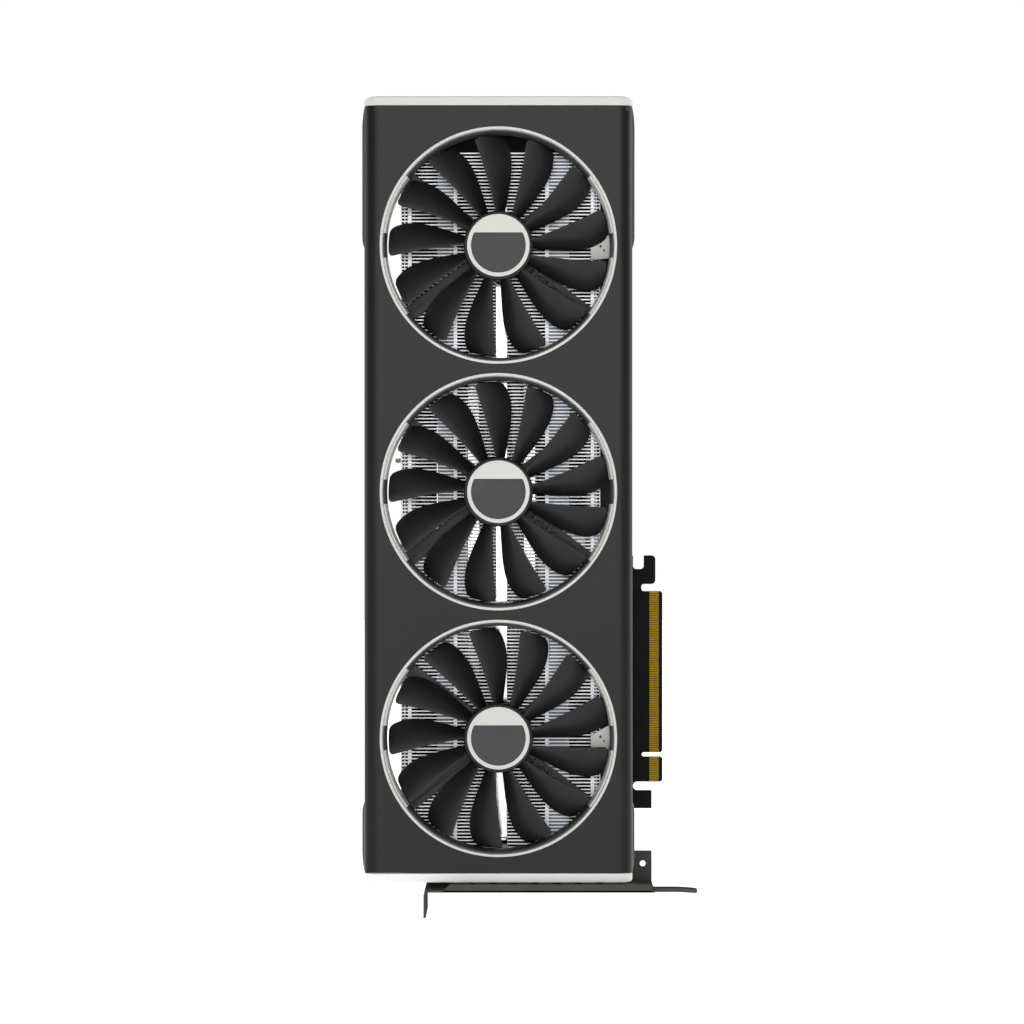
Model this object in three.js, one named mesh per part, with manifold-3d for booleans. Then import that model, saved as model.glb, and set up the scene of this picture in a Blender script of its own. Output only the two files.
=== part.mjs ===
// A three-fan graphics card, in millimetres.
// +Z runs along the card, away from its slot bracket. The fans face -Y and the edge contacts face +X.
// The origin is on the bracket's outer face, at the board's mid-plane and on the line of the fan axes.
import * as THREE from "three";
import { mergeVertices } from "three/addons/utils/BufferGeometryUtils.js";
import Module from "manifold-3d";

const wasm = await Module();
wasm.setup();

// Overall sizes
const bodyLength = 344; // from end trim to end trim
const bodyWidth = 117.5; // across the cooler
const bodyStart = 4; // from the bracket's outer face to the first end trim
const faceDepth = 50; // the cooler's face in front of the board's mid-plane
const backDepth = 7; // the backplate's outer face behind the board's mid-plane
const seat = 0.3; // clearance between pieces that rest on each other

// Cooler shell
const shellWall = 2;
const edgeRadius = 5;
const trimLength = 4; // each bright end trim, along the card
const trimBand = 9; // depth of the trims behind the cooler's face
const trimSide = 2.5; // their width down the card's sides
const leftWallBack = 14; // the left wall stops this far in front of the board's mid-plane
const rightWallBack = 2.3;
const bulgeHeight = 1; // the raised panels on the sides, near both ends
const bulgeLength = 62;
const ventCount = 11;
const ventLength = 20;
const ventSlant = 5;
const ventFront = 41; // the side vents reach from here to ventBack, in front of the board
const ventBack = 20;
const ventMargin = 9; // from the ends of the shell to the first and last vent

// Fans
const fanCount = 3;
const fanPitch = 107.9;
const fanRowOffset = -1; // the middle fan sits this far from the middle of the body
const bladeSpacing = 11.5; // between the blade tips of neighbouring fans
const tipRadius = (fanPitch - bladeSpacing) / 2;
const tipGap = 0.7;
const ringWall = 2; // the bright ring round each fan
const ringLip = 1.05; // how far its lip covers the shell
const ringProud = 0.8;
const ringDepth = 13.8;
const ringFlare = 1.4; // how much wider its mouth is than its throat
const bladeCount = 13;
const bladeThickness = 1.1;
const bladeRise = 8; // from the leading edge to the trailing edge, along the axis
const bladeMiddle = 42.2; // the blades' mid height in front of the board's mid-plane
const bladeStations = 4;
const bladeRootLead = 1.5; // the leading edge at the hub, in degrees anticlockwise of the blade's own line
const bladeSweep = 8.7; // how much further round it is at the tip
const bladeLeadCurve = 0.62;
const bladeRootTrail = 13.4; // the trailing edge at the hub, in degrees clockwise
const bladeTaper = 8.7; // how much nearer it is at the tip
const bladeTrailCurve = 4;
const bladeCorner = 2.5; // the tip's cut corners
const fanTurns = [-6, -2.6, -2.6]; // where the top blade points, in degrees clockwise
const hubRadius = 15.25;
const hubFront = 48;
const hubBack = 37;
const hubWall = 1.6;
const hubChamfer = 0.8;
const hubPlateRadius = 13.7;
const hubPlateThickness = 0.7;
const badgeRadius = 11.95;
const badgeChord = 5.6; // the badge ends this far above the hub's centre
const badgeThickness = 0.5;
const magnetWall = 1.6;
const shaftRadius = 1.5;
const bearingWall = 1.4;
const statorPoles = 9;
const statorGap = 0.6;
const statorLength = 6.5;
const statorPoleShare = 0.8; // of the room that each pole has round the core
const frameFront = 36.2; // the struts that carry each motor
const frameThickness = 3;
const strutAngles = [53, 127, 233, 307];
const strutWidth = 6.5;
const earRadius = 4;
const earScrewRadius = 1.3;
const earOverlap = 0.5; // how far each ear reaches in under the shell's opening

// Heatsink
const finFront = 32;
const finBack = 10;
const finWeb = 0.8; // the folded flanges that join the fins at their back
const finPitch = 8;
const finThickness = 0.9;
const stackStart = 12;
const stackLength = 314;
const stackLeft = 43;
const stackRight = 44.8;
const channelCentre = 1.3; // the open channel between the two fin blocks
const channelWidth = 5;
const flatPipeCount = 3; // flattened pipes between the cold plate and the fins
const flatPipePitch = 12.5;
const flatPipeWidth = 7.5;
const flatPipeThickness = 3;
const roundPipeRadius = 4; // one round pipe runs through each block of fins
const roundPipeOffset = 25; // from the channel's centre
const roundPipeDepth = 20; // in front of the board's mid-plane
const roundPipeGap = 0.4;
const pipeInset = 4; // the pipes end this far inside the fin blocks
const coldPlateWidth = 90;
const coldPlateLength = 80;
const coldPlateThickness = 3;
const midPlateThickness = 1.5;
const midPlateGap = 1; // round the cold plate

// Board and what it carries
const boardThickness = 1.6;
const boardLeft = 43;
const boardRight = 59;
const boardLength = 262;
const cornerInset = 13.4; // the board's left corner by the bracket is cut back by this much
const cornerHeight = 5.5; // up to here
const slotEdge = 73.2; // the edge that plugs into the slot
const chipZ = 125; // the processor's centre along the card
const chipSize = 45;
const chipThickness = 2;
const springHoleSpacing = 64;
const screwRadius = 1.2;
const screwHeadRadius = 2.9;
const screwHeadHeight = 1.8;
const screwHoleGap = 0.4;
const springThickness = 1;
const springArm = 9;

// Edge connector, along the card from the bracket's outer face
const edgeEnd = 130.7;
const keyCentre = 57.7;
const keyWidth = 1.9;
const keyDepth = 9.2;
const edgeStart = 45.5;
const slotGapWidth = 3.8;
const slotGapDepth = 13.1;
const edgeTabStart = 33.6;
const edgeTabReach = 68.4;
const edgeBevel = 0.8;
const hookStart = 133.9;
const hookEnd = 146.7;
const hookReach = 70.1;
const hookNotchDepth = 9.4;
const hookSlotLeft = 60.1;
const hookSlotRight = 64.9;
const hookSlotFloor = 140.6;
const hookChamfer = 1.8;

// Slot bracket
const bracketThickness = 1;
const slotWidth = 18.42; // one slot's bracket
const slotPitch = 20.32;
const slotCount = 3;
const bracketBack = 2.9; // the bracket's edge behind the board's mid-plane
const bracketLeft = 32.7;
const bracketRight = 68.4;
const bracketLength = 119.7; // from the screw tab's face to the tongue's end
const tabLength = 11.2;
const tabNotchWidth = 4.4;
const tabNotchDepth = 6;
const tabNotchOffset = 4.6; // from the middle of its slot
const tongueWidth = 10.2;
const tongueDrop = 0.6;
const tongueSlot = 2; // the slot that has the tongue, counted from the board
const flangeHeight = 3.7;
const flangeLeft = 25;
const flangeRight = 67.5;
const footReach = 11.4; // the foot's width, ending at bracketRight
const footLength = 14.8;
const footThickness = 0.9;
const footHoleRadius = 1.3;
const footHoleX = 64.4;
const footHoleZ = 9;
const grilleRows = 2;
const grilleColumns = 9;
const grilleBar = 3;
const grilleMargin = 6;
const grilleLeftMargin = 12.6; // clear of the flange's slanted end

// Sockets and switch
const displaySocketCount = 4;
const displaySocketPitch = 19;
const displaySocketWidth = 16.8;
const displaySocketHeight = 6;
const displaySocketLength = 18;
const displaySocketWall = 0.5;
const displaySocketRecess = 12;
const displayTongueThickness = 1.6;
const displayTongueInset = 2;
const mouthSetback = 0.2;
const powerSocketCount = 2;
const powerSocketPitch = 23;
const powerSocketZ = 214; // the first power socket's centre
const powerSocketLength = 20;
const powerSocketHeight = 11.2;
const powerSocketInset = 0.5; // its mouth, from the cooler's side
const powerTabInset = 2; // the board's edge behind that mouth
const powerTabMargin = 2; // the board's edge beyond the sockets' ends
const powerHoleSize = 3.5;
const powerHolePitch = 4.4;
const powerHoleDepth = 11;
const powerHoleColumns = 4;
const powerHoleRows = 2;
const switchZ = 190;
const switchLength = 10;
const switchHeight = 3.8;
const switchDepth = 5;
const switchTravel = 2;
const leverLength = 2;
const leverThickness = 1;
const leverReach = 3;
const leverRoot = 2.2;
const switchGap = 0.3;

// Backplate
const backplateThickness = 1.2;
const backplateLip = 4.2;
const backplateStart = 4.6;
const backplateTail = 1; // from the body's far end
const backplateWindow = 84;
const standoffRadius = 2.6;
const standoffInset = 7; // from the backplate's edges

const ringSegments = 40;
const hubSegments = 20;
const smallSegments = 10;

// Sizes that follow
const bodyEnd = bodyStart + bodyLength;
const halfWidth = bodyWidth / 2;
const shellStart = bodyStart + trimLength + seat;
const shellEnd = bodyEnd - trimLength - seat;
const throatRadius = tipRadius + tipGap;
const ringRadius = throatRadius + ringWall;
const openingRadius = ringRadius + seat;
const frameBack = frameFront - frameThickness;
const socketTop = displaySocketLength + midPlateGap + mouthSetback;
const powerMouth = -(halfWidth - powerSocketInset);
const powerTabLow = powerSocketZ - powerSocketLength / 2 - powerTabMargin;
const powerTabHigh =
  powerSocketZ + (powerSocketCount - 1) * powerSocketPitch + powerSocketLength / 2 + powerTabMargin;
const bossRadius = earRadius - 1;
const earCentre = openingRadius + earRadius - earOverlap;
const boardFront = boardThickness / 2;
const backplateInner = backDepth - backplateThickness;
const bracketFront = bracketBack - (slotWidth + (slotCount - 1) * slotPitch);

function fanHeight(index) {
  return bodyStart + bodyLength / 2 + fanRowOffset + (index - (fanCount - 1) / 2) * fanPitch;
}

// Finishes
function finish(color, roughness, metalness) {
  return new THREE.MeshStandardMaterial({ color, roughness, metalness });
}

const finishes = {
  shell: finish(0x3d3d3d, 0.6, 0.1),
  bright: finish(0xe0e2dc, 0.35, 0.6),
  blade: finish(0x222224, 0.45, 0),
  strut: finish(0x454545, 0.6, 0),
  badge: finish(0x535351, 0.5, 0.2),
  fin: finish(0xb8bcc0, 0.35, 1),
  pipe: finish(0xe8e8e6, 0.25, 1),
  copper: finish(0xc8b8a8, 0.3, 1),
  darkMetal: finish(0x1c1c1c, 0.5, 0.6),
  board: finish(0x1a1a1c, 0.5, 0),
  package: finish(0x3a5a3c, 0.5, 0),
  bracket: finish(0x3a3a38, 0.45, 0.8),
  socket: finish(0x8c8c8c, 0.35, 0.9),
  plastic: finish(0x141414, 0.6, 0),
  magnet: finish(0x55524e, 0.6, 0.3),
  winding: finish(0xa0623a, 0.4, 0.7),
  screw: finish(0x90908e, 0.35, 0.9),
};

// Solids: geometry to a closed solid and back
function solidOf(geometry) {
  const bare = geometry.index ? geometry.toNonIndexed() : geometry;
  bare.deleteAttribute("normal");
  bare.deleteAttribute("uv");
  const merged = mergeVertices(bare);
  const triVerts = new Uint32Array(merged.index.array);
  const vertProperties = merged.attributes.position.array;
  return new wasm.Manifold(new wasm.Mesh({ numProp: 3, vertProperties, triVerts }));
}

function geometryOf(solid) {
  const { vertProperties, triVerts } = solid.getMesh();
  const geometry = new THREE.BufferGeometry();
  geometry.setAttribute("position", new THREE.BufferAttribute(vertProperties, 3));
  geometry.setIndex(new THREE.BufferAttribute(triVerts, 1));
  geometry.computeVertexNormals();
  return geometry;
}

function join(solids) {
  return solids.reduce((sum, next) => sum.add(next));
}

function cut(base, tools) {
  return tools.reduce((rest, tool) => rest.subtract(tool), base);
}

// Outlines
function outline(points) {
  return new THREE.Shape(points.map(([x, y]) => new THREE.Vector2(x, y)));
}

function rectangle(x0, y0, x1, y1) {
  return outline([[x0, y0], [x1, y0], [x1, y1], [x0, y1]]);
}

function circle(x, y, radius) {
  return new THREE.Shape().absarc(x, y, radius, 0, 2 * Math.PI);
}

function extrude(shape, depth, segments = smallSegments) {
  const curveSegments = segments / 2; // an arc is divided twice as finely as this says
  return new THREE.ExtrudeGeometry(shape, { depth, bevelEnabled: false, curveSegments });
}

// An outline in x and z, made solid between two depths in front of the board's mid-plane
function panel(shape, front, back, segments) {
  const geometry = extrude(shape, front - back, segments);
  geometry.rotateX(Math.PI / 2);
  geometry.translate(0, -back, 0);
  return solidOf(geometry);
}

// An outline in x and y, made solid between two heights
function column(shape, low, high, segments) {
  const geometry = extrude(shape, high - low, segments);
  geometry.translate(0, 0, low);
  return solidOf(geometry);
}

// An outline in y and z, made solid between two places across the card
function bar(shape, left, right, segments) {
  const geometry = extrude(shape, right - left, segments);
  const turn = new THREE.Matrix4().makeBasis(
    new THREE.Vector3(0, 1, 0),
    new THREE.Vector3(0, 0, 1),
    new THREE.Vector3(1, 0, 0),
  );
  geometry.applyMatrix4(turn);
  geometry.translate(left, 0, 0);
  return solidOf(geometry);
}

function box(x0, x1, y0, y1, z0, z1) {
  return column(rectangle(x0, y0, x1, y1), z0, z1);
}

// A profile of radius and y, turned about the fan's axis
function turned(profile, segments) {
  const points = profile.map(([radius, y]) => new THREE.Vector2(radius, y)).reverse();
  return solidOf(new THREE.LatheGeometry(points, segments));
}

function polar(radius, degrees) {
  const angle = THREE.MathUtils.degToRad(degrees);
  return [radius * Math.sin(angle), radius * Math.cos(angle)];
}

const card = new THREE.Group();

function add(name, solid, material, parent = card) {
  const mesh = new THREE.Mesh(geometryOf(solid), material);
  mesh.name = name;
  parent.add(mesh);
}

// Cooler shell: the section across the card, with the long front edges rounded
function shellSection(inset, leftBack, rightBack, rightWall) {
  const side = halfWidth - inset;
  const front = -(faceDepth - inset);
  const radius = edgeRadius - inset;
  const shape = new THREE.Shape();
  shape.moveTo(-side, leftBack);
  shape.lineTo(-side, front + radius);
  shape.absarc(-side + radius, front + radius, radius, Math.PI, 1.5 * Math.PI);
  shape.lineTo(side - radius, front);
  shape.absarc(side - radius, front + radius, radius, 1.5 * Math.PI, 2 * Math.PI);
  shape.lineTo(side, rightBack);
  shape.lineTo(side - rightWall, rightBack);
  shape.lineTo(side - rightWall, leftBack);
  return shape;
}

function sideVents() {
  const run = shellEnd - shellStart - 2 * ventMargin - ventLength - ventSlant;
  const vents = [];
  for (let i = 0; i < ventCount; i++) {
    const z = shellStart + ventMargin + (run * i) / (ventCount - 1);
    const shape = outline([
      [-ventFront, z],
      [-ventBack, z + ventSlant],
      [-ventBack, z + ventSlant + ventLength],
      [-ventFront, z + ventLength],
    ]);
    vents.push(bar(shape, -bodyWidth, bodyWidth));
  }
  return vents;
}

function sideBulge(low, high) {
  const reach = halfWidth + bulgeHeight;
  const front = -(faceDepth - edgeRadius - bulgeHeight);
  const back = -(leftWallBack + bulgeHeight);
  return box(-reach, reach, front, back, low, high);
}

function screwBosses(index) {
  return strutAngles.map((degrees) => {
    const [x, z] = polar(earCentre, degrees);
    const shape = circle(x, z + fanHeight(index), bossRadius);
    return panel(shape, faceDepth - shellWall / 2, frameFront + seat);
  });
}

function makeShroud() {
  const bulges = [
    sideBulge(shellStart, shellStart + bulgeLength / 2),
    sideBulge(shellEnd - bulgeLength, shellEnd),
  ];
  const section = shellSection(0, -leftWallBack, -rightWallBack, shellWall);
  const outer = join([column(section, shellStart, shellEnd), ...bulges]);
  const inner = column(shellSection(shellWall, 1, 1, 0), shellStart - 1, shellEnd - shellWall);
  const endWall = box(
    -(boardLeft - 2 * backplateThickness),
    boardRight - backplateThickness - seat,
    -(faceDepth - shellWall / 2),
    backplateInner - seat,
    shellEnd - shellWall,
    shellEnd,
  );
  const fans = [...Array(fanCount).keys()];
  const openings = fans.map((index) => {
    const shape = circle(0, fanHeight(index), openingRadius);
    return panel(shape, faceDepth + 1, faceDepth - shellWall - 1, ringSegments);
  });
  const shell = cut(outer, [inner, ...openings, ...sideVents()]);
  return join([shell, endWall, ...fans.flatMap(screwBosses)]);
}

function makeTrim(low) {
  const section = shellSection(0, -leftWallBack, -rightWallBack, trimSide);
  const frame = column(section, low, low + trimLength);
  const window = box(
    -(halfWidth - trimSide),
    halfWidth - trimSide,
    -(faceDepth - trimBand),
    0,
    low - 1,
    low + trimLength + 1,
  );
  return frame.subtract(window);
}

add("shroud", makeShroud(), finishes.shell);
add("bracket_trim", makeTrim(bodyStart), finishes.bright);
add("tail_trim", makeTrim(bodyEnd - trimLength), finishes.bright);

// Fans
function makeRing() {
  const front = -(faceDepth + ringProud);
  const lip = -(faceDepth + seat);
  const back = -(faceDepth - ringDepth + ringProud);
  const mouth = throatRadius + ringFlare;
  const profile = [
    [throatRadius, back],
    [ringRadius, back],
    [ringRadius, lip],
    [ringRadius + ringLip, lip],
    [ringRadius + ringLip, front],
    [mouth, front],
    [throatRadius, back],
  ];
  return turned(profile, ringSegments);
}

function bladeEdges(share) {
  const left = -bladeRootLead - bladeSweep * Math.pow(share, bladeLeadCurve);
  const right = bladeRootTrail - bladeTaper * Math.pow(share, bladeTrailCurve);
  return { left, right };
}

function bladeOutline() {
  const root = hubRadius - hubWall / 2;
  const reach = tipRadius - root;
  const stations = [...Array(bladeStations).keys()].map((i) => i / (bladeStations - 1));
  const along = (share) => root + (reach - bladeCorner) * share;
  const leftSide = stations.map((s) => polar(along(s), bladeEdges(s).left));
  const rightSide = stations.map((s) => polar(along(s), bladeEdges(s).right));
  const tip = bladeEdges(1);
  const tipPoints = [tip.left + bladeCorner, (tip.left + tip.right) / 2, tip.right - bladeCorner];
  return outline([
    ...leftSide,
    ...tipPoints.map((degrees) => polar(tipRadius, degrees)),
    ...rightSide.reverse(),
  ]);
}

// A flat blade whose points are then moved along the axis, so that its left edge leads
function makeBlade(degrees) {
  const geometry = extrude(bladeOutline(), bladeThickness);
  geometry.rotateX(Math.PI / 2);
  const position = geometry.attributes.position;
  const root = hubRadius - hubWall / 2;
  for (let i = 0; i < position.count; i++) {
    const x = position.getX(i);
    const z = position.getZ(i);
    const share = THREE.MathUtils.clamp((Math.hypot(x, z) - root) / (tipRadius - root), 0, 1);
    const { left, right } = bladeEdges(share);
    const across = (THREE.MathUtils.radToDeg(Math.atan2(x, z)) - left) / (right - left);
    position.setY(i, position.getY(i) - bladeMiddle + bladeRise * (across - 0.5));
  }
  geometry.rotateY(THREE.MathUtils.degToRad(degrees));
  return solidOf(geometry);
}

function makeHubCup() {
  return turned(
    [
      [hubRadius - hubWall, -hubBack],
      [hubRadius, -hubBack],
      [hubRadius, -(hubFront - hubChamfer)],
      [hubRadius - hubChamfer, -hubFront],
      [0, -hubFront],
      [0, -(hubFront - hubWall)],
      [hubRadius - hubWall, -(hubFront - hubWall)],
      [hubRadius - hubWall, -hubBack],
    ],
    hubSegments,
  );
}

function makeImpeller(turn) {
  const blades = [];
  for (let i = 0; i < bladeCount; i++) {
    blades.push(makeBlade(turn + (360 * i) / bladeCount));
  }
  return join([makeHubCup(), ...blades]);
}

// The part of a disc that lies below the badge's top edge
function badgeOutline(gap) {
  const radius = badgeRadius - gap;
  const chord = badgeChord - gap;
  const end = Math.asin(chord / radius);
  return new THREE.Shape().absarc(0, 0, radius, Math.PI - end, 2 * Math.PI + end);
}

function makeHubPlate() {
  const back = hubFront + seat;
  const disc = panel(circle(0, 0, hubPlateRadius), back + hubPlateThickness, back, hubSegments);
  const hole = panel(badgeOutline(0), back + hubPlateThickness + 1, back - 1, hubSegments);
  return disc.subtract(hole);
}

function makeHubBadge() {
  const back = hubFront + seat;
  return panel(badgeOutline(seat), back + badgeThickness, back, hubSegments);
}

const magnetOuter = hubRadius - hubWall - seat;
const magnetInner = magnetOuter - magnetWall;
const rotorFront = hubFront - hubWall - seat;
const boreRadius = shaftRadius + seat;
const bearingRadius = boreRadius + bearingWall;

function makeTube(outer, inner, front, back, segments) {
  return turned(
    [
      [inner, -back],
      [outer, -back],
      [outer, -front],
      [inner, -front],
      [inner, -back],
    ],
    segments,
  );
}

function makeMagnet() {
  return makeTube(magnetOuter, magnetInner, rotorFront, hubBack + seat, hubSegments);
}

function makeShaft() {
  return panel(circle(0, 0, shaftRadius), rotorFront, frameFront + seat);
}

function makeStator() {
  const outer = magnetInner - statorGap;
  const back = frameFront + seat;
  const neck = (bearingRadius + outer) / 2;
  const points = [];
  for (let i = 0; i < statorPoles; i++) {
    const middle = (360 * i) / statorPoles;
    const halfPole = (180 / statorPoles) * statorPoleShare;
    points.push(polar(outer, middle - halfPole));
    points.push(polar(outer, middle + halfPole));
    points.push(polar(neck, middle + halfPole));
    points.push(polar(neck, middle + 360 / statorPoles - halfPole));
  }
  const core = panel(outline(points.reverse()), back + statorLength, back);
  const hole = panel(circle(0, 0, bearingRadius + seat), hubFront, back - 1, smallSegments);
  return core.subtract(hole);
}

function makeFrame() {
  const base = panel(circle(0, 0, hubRadius), frameFront, frameBack, hubSegments);
  const tube = panel(
    circle(0, 0, bearingRadius),
    rotorFront - hubWall,
    frameFront - frameThickness / 2,
    smallSegments + 2,
  );
  const bore = panel(circle(0, 0, boreRadius), hubFront, frameFront, smallSegments + 2);
  const arms = strutAngles.flatMap((degrees) => {
    const [x, z] = polar(earCentre, degrees);
    const [sideX, sideZ] = polar(strutWidth / 2, degrees + 90);
    const arm = outline([[sideX, sideZ], [-sideX, -sideZ], [x - sideX, z - sideZ], [x + sideX, z + sideZ]]);
    return [
      panel(new THREE.Shape(arm.getPoints().reverse()), frameFront, frameBack),
      panel(circle(x, z, earRadius), frameFront, frameBack),
    ];
  });
  const holes = strutAngles.map((degrees) => {
    const [x, z] = polar(earCentre, degrees);
    return panel(circle(x, z, earScrewRadius), frameFront + 1, frameBack - 1);
  });
  return cut(join([base, tube, ...arms]), [bore, ...holes]);
}

for (let index = 0; index < fanCount; index++) {
  const number = index + 1;
  const fan = new THREE.Group();
  fan.position.z = fanHeight(index);
  card.add(fan);
  add(`ring_trim_${number}`, makeRing(), finishes.bright, fan);
  add(`fan_frame_${number}`, makeFrame(), finishes.strut, fan);
  add(`fan_stator_${number}`, makeStator(), finishes.winding, fan);
  add(`impeller_${number}`, makeImpeller(fanTurns[index]), finishes.blade, fan);
  add(`magnet_ring_${number}`, makeMagnet(), finishes.magnet, fan);
  add(`shaft_${number}`, makeShaft(), finishes.screw, fan);
  add(`hub_plate_${number}`, makeHubPlate(), finishes.bright, fan);
  add(`hub_badge_${number}`, makeHubBadge(), finishes.badge, fan);
}

// Heatsink: two blocks of fins with an open channel between them
function makeFins(left, right, side) {
  const count = Math.floor((stackLength - finThickness) / finPitch) + 1;
  const points = [[-finBack, stackStart]];
  for (let i = 0; i < count; i++) {
    const low = stackStart + i * finPitch;
    points.push([-finFront, low], [-finFront, low + finThickness]);
    if (i < count - 1) {
      points.push([-finBack - finWeb, low + finThickness], [-finBack - finWeb, low + finPitch]);
    }
  }
  points.push([-finBack, stackStart + (count - 1) * finPitch + finThickness]);
  const half = roundPipeRadius + roundPipeGap;
  const middle = channelCentre + side * roundPipeOffset;
  const slot = box(
    middle - half,
    middle + half,
    -(roundPipeDepth + half),
    0,
    stackStart - 1,
    stackStart + stackLength + 1,
  );
  return bar(outline(points.reverse()), left, right).subtract(slot);
}

const pipeFront = finBack - seat;
const pipeBack = pipeFront - flatPipeThickness;
const plateFront = pipeBack - seat;
const plateBack = plateFront - coldPlateThickness;

const pipeLow = socketTop + seat;
const pipeHigh = stackStart + stackLength - pipeInset;

function makeRoundPipe(side) {
  const shape = circle(channelCentre + side * roundPipeOffset, -roundPipeDepth, roundPipeRadius);
  return column(shape, pipeLow, pipeHigh, smallSegments + 2);
}

function makeFlatPipe(offset) {
  const x = channelCentre + offset * flatPipePitch;
  const round = flatPipeThickness / 2;
  const reach = flatPipeWidth / 2 - round;
  const middle = -(pipeFront + pipeBack) / 2;
  const shape = new THREE.Shape();
  shape.absarc(x + reach, middle, round, -Math.PI / 2, Math.PI / 2);
  shape.absarc(x - reach, middle, round, Math.PI / 2, 1.5 * Math.PI);
  return column(shape, pipeLow, pipeHigh);
}

function makeColdPlate() {
  const half = coldPlateWidth / 2;
  const low = chipZ - coldPlateLength / 2;
  return box(channelCentre - half, channelCentre + half, -plateFront, -plateBack, low, low + coldPlateLength);
}

function makeMidPlate() {
  const left = -(boardLeft - midPlateGap);
  const right = halfWidth - shellWall - seat;
  const shape = rectangle(left, socketTop, right, boardLength - midPlateGap);
  const plate = panel(shape, plateBack + midPlateThickness, plateBack);
  const half = coldPlateWidth / 2 + midPlateGap;
  const halfLength = coldPlateLength / 2 + midPlateGap;
  const window = panel(
    rectangle(channelCentre - half, chipZ - halfLength, channelCentre + half, chipZ + halfLength),
    plateBack + midPlateThickness + 1,
    plateBack - 1,
  );
  return cut(plate, [window, box(...switchBox(seat))]);
}

const channelLeft = channelCentre - channelWidth / 2;
const channelRight = channelCentre + channelWidth / 2;
add("fin_stack_left", makeFins(-stackLeft, channelLeft, -1), finishes.fin);
add("fin_stack_right", makeFins(channelRight, stackRight, 1), finishes.fin);
add("round_pipe_left", makeRoundPipe(-1), finishes.pipe);
add("round_pipe_right", makeRoundPipe(1), finishes.pipe);
for (let i = 0; i < flatPipeCount; i++) {
  add(`flat_pipe_${i + 1}`, makeFlatPipe(i - (flatPipeCount - 1) / 2), finishes.pipe);
}
add("cold_plate", makeColdPlate(), finishes.copper);
add("mid_plate", makeMidPlate(), finishes.darkMetal);

// Board
function boardOutline() {
  const low = bracketThickness + seat;
  const keyHalf = keyWidth / 2;
  const slotEnd = slotEdge - edgeBevel;
  const gapFloor = slotEdge - slotGapDepth;
  return outline([
    [boardRight, low],
    [boardRight, edgeTabStart],
    [edgeTabReach, edgeTabStart],
    [edgeTabReach, edgeStart - slotGapWidth],
    [gapFloor + slotGapWidth / 4, edgeStart - slotGapWidth],
    [gapFloor, edgeStart - 0.75 * slotGapWidth],
    [gapFloor, edgeStart - slotGapWidth / 4],
    [gapFloor + slotGapWidth / 4, edgeStart],
    [slotEnd, edgeStart],
    [slotEdge, edgeStart + edgeBevel],
    [slotEdge, keyCentre - keyHalf - edgeBevel],
    [slotEnd, keyCentre - keyHalf],
    [slotEdge - keyDepth, keyCentre - keyHalf],
    [slotEdge - keyDepth, keyCentre + keyHalf],
    [slotEnd, keyCentre + keyHalf],
    [slotEdge, keyCentre + keyHalf + edgeBevel],
    [slotEdge, edgeEnd - edgeBevel],
    [slotEnd, edgeEnd],
    [slotEdge - hookNotchDepth, edgeEnd],
    [slotEdge - hookNotchDepth, hookStart],
    [hookReach - hookChamfer, hookStart],
    [hookReach, hookStart + hookChamfer],
    [hookReach, hookEnd - hookChamfer],
    [hookReach - hookChamfer, hookEnd],
    [hookSlotRight, hookEnd],
    [hookSlotRight, hookSlotFloor],
    [hookSlotLeft, hookSlotFloor],
    [hookSlotLeft, hookEnd],
    [boardRight, hookEnd],
    [boardRight, boardLength],
    [-boardLeft, boardLength],
    [-boardLeft, powerTabHigh],
    [powerMouth + powerTabInset, powerTabHigh],
    [powerMouth + powerTabInset, powerTabLow],
    [-boardLeft, powerTabLow],
    [-boardLeft, cornerHeight],
    [-boardLeft + cornerInset, cornerHeight],
    [-boardLeft + cornerInset, low],
  ]);
}

const springHoles = [-1, 1].flatMap((across) =>
  [-1, 1].map((along) => [
    channelCentre + (across * springHoleSpacing) / 2,
    chipZ + (along * springHoleSpacing) / 2,
  ]),
);

function makeBoard() {
  const board = panel(boardOutline(), boardFront, -boardFront);
  const holes = springHoles.map(([x, z]) =>
    panel(circle(x, z, screwRadius + screwHoleGap), boardFront + 1, -boardFront - 1),
  );
  return cut(board, holes);
}

function makePackage() {
  const half = chipSize / 2;
  const back = boardFront + seat;
  const x = channelCentre;
  const substrate = rectangle(x - half, chipZ - half, x + half, chipZ + half);
  const die = rectangle(x - half / 2, chipZ - half / 2, x + half / 2, chipZ + half / 2);
  const top = plateBack - seat;
  return join([panel(substrate, back + (top - back) / 2, back), panel(die, top, back)]);
}

// A cross-shaped leaf spring behind the board, held by four screws
function makeSpring() {
  const back = -(boardFront + seat);
  const half = springHoleSpacing / 2;
  const arm = springArm / 2;
  const reach = (half + arm) * Math.SQRT2;
  const bars = [45, -45].map((degrees) => {
    const [alongX, alongZ] = polar(reach, degrees);
    const [sideX, sideZ] = polar(arm, degrees + 90);
    const shape = outline([
      [channelCentre - alongX - sideX, chipZ - alongZ - sideZ],
      [channelCentre - alongX + sideX, chipZ - alongZ + sideZ],
      [channelCentre + alongX + sideX, chipZ + alongZ + sideZ],
      [channelCentre + alongX - sideX, chipZ + alongZ - sideZ],
    ]);
    return panel(shape, back, back - springThickness);
  });
  const holes = springHoles.map(([x, z]) =>
    panel(circle(x, z, screwRadius + screwHoleGap), 0, back - springThickness - 1),
  );
  return cut(join(bars), holes);
}

function makeSpringScrew([x, z]) {
  const under = -(boardFront + seat + springThickness + seat);
  const stem = panel(circle(x, z, screwRadius), plateBack - seat, under - screwHeadHeight / 2);
  const head = panel(circle(x, z, screwHeadRadius), under, under - screwHeadHeight);
  return stem.add(head);
}

add("circuit_board", makeBoard(), finishes.board);
add("processor", makePackage(), finishes.package);
add("cross_spring", makeSpring(), finishes.darkMetal);
springHoles.forEach((hole, index) => {
  add(`spring_screw_${index + 1}`, makeSpringScrew(hole), finishes.screw);
});

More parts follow.
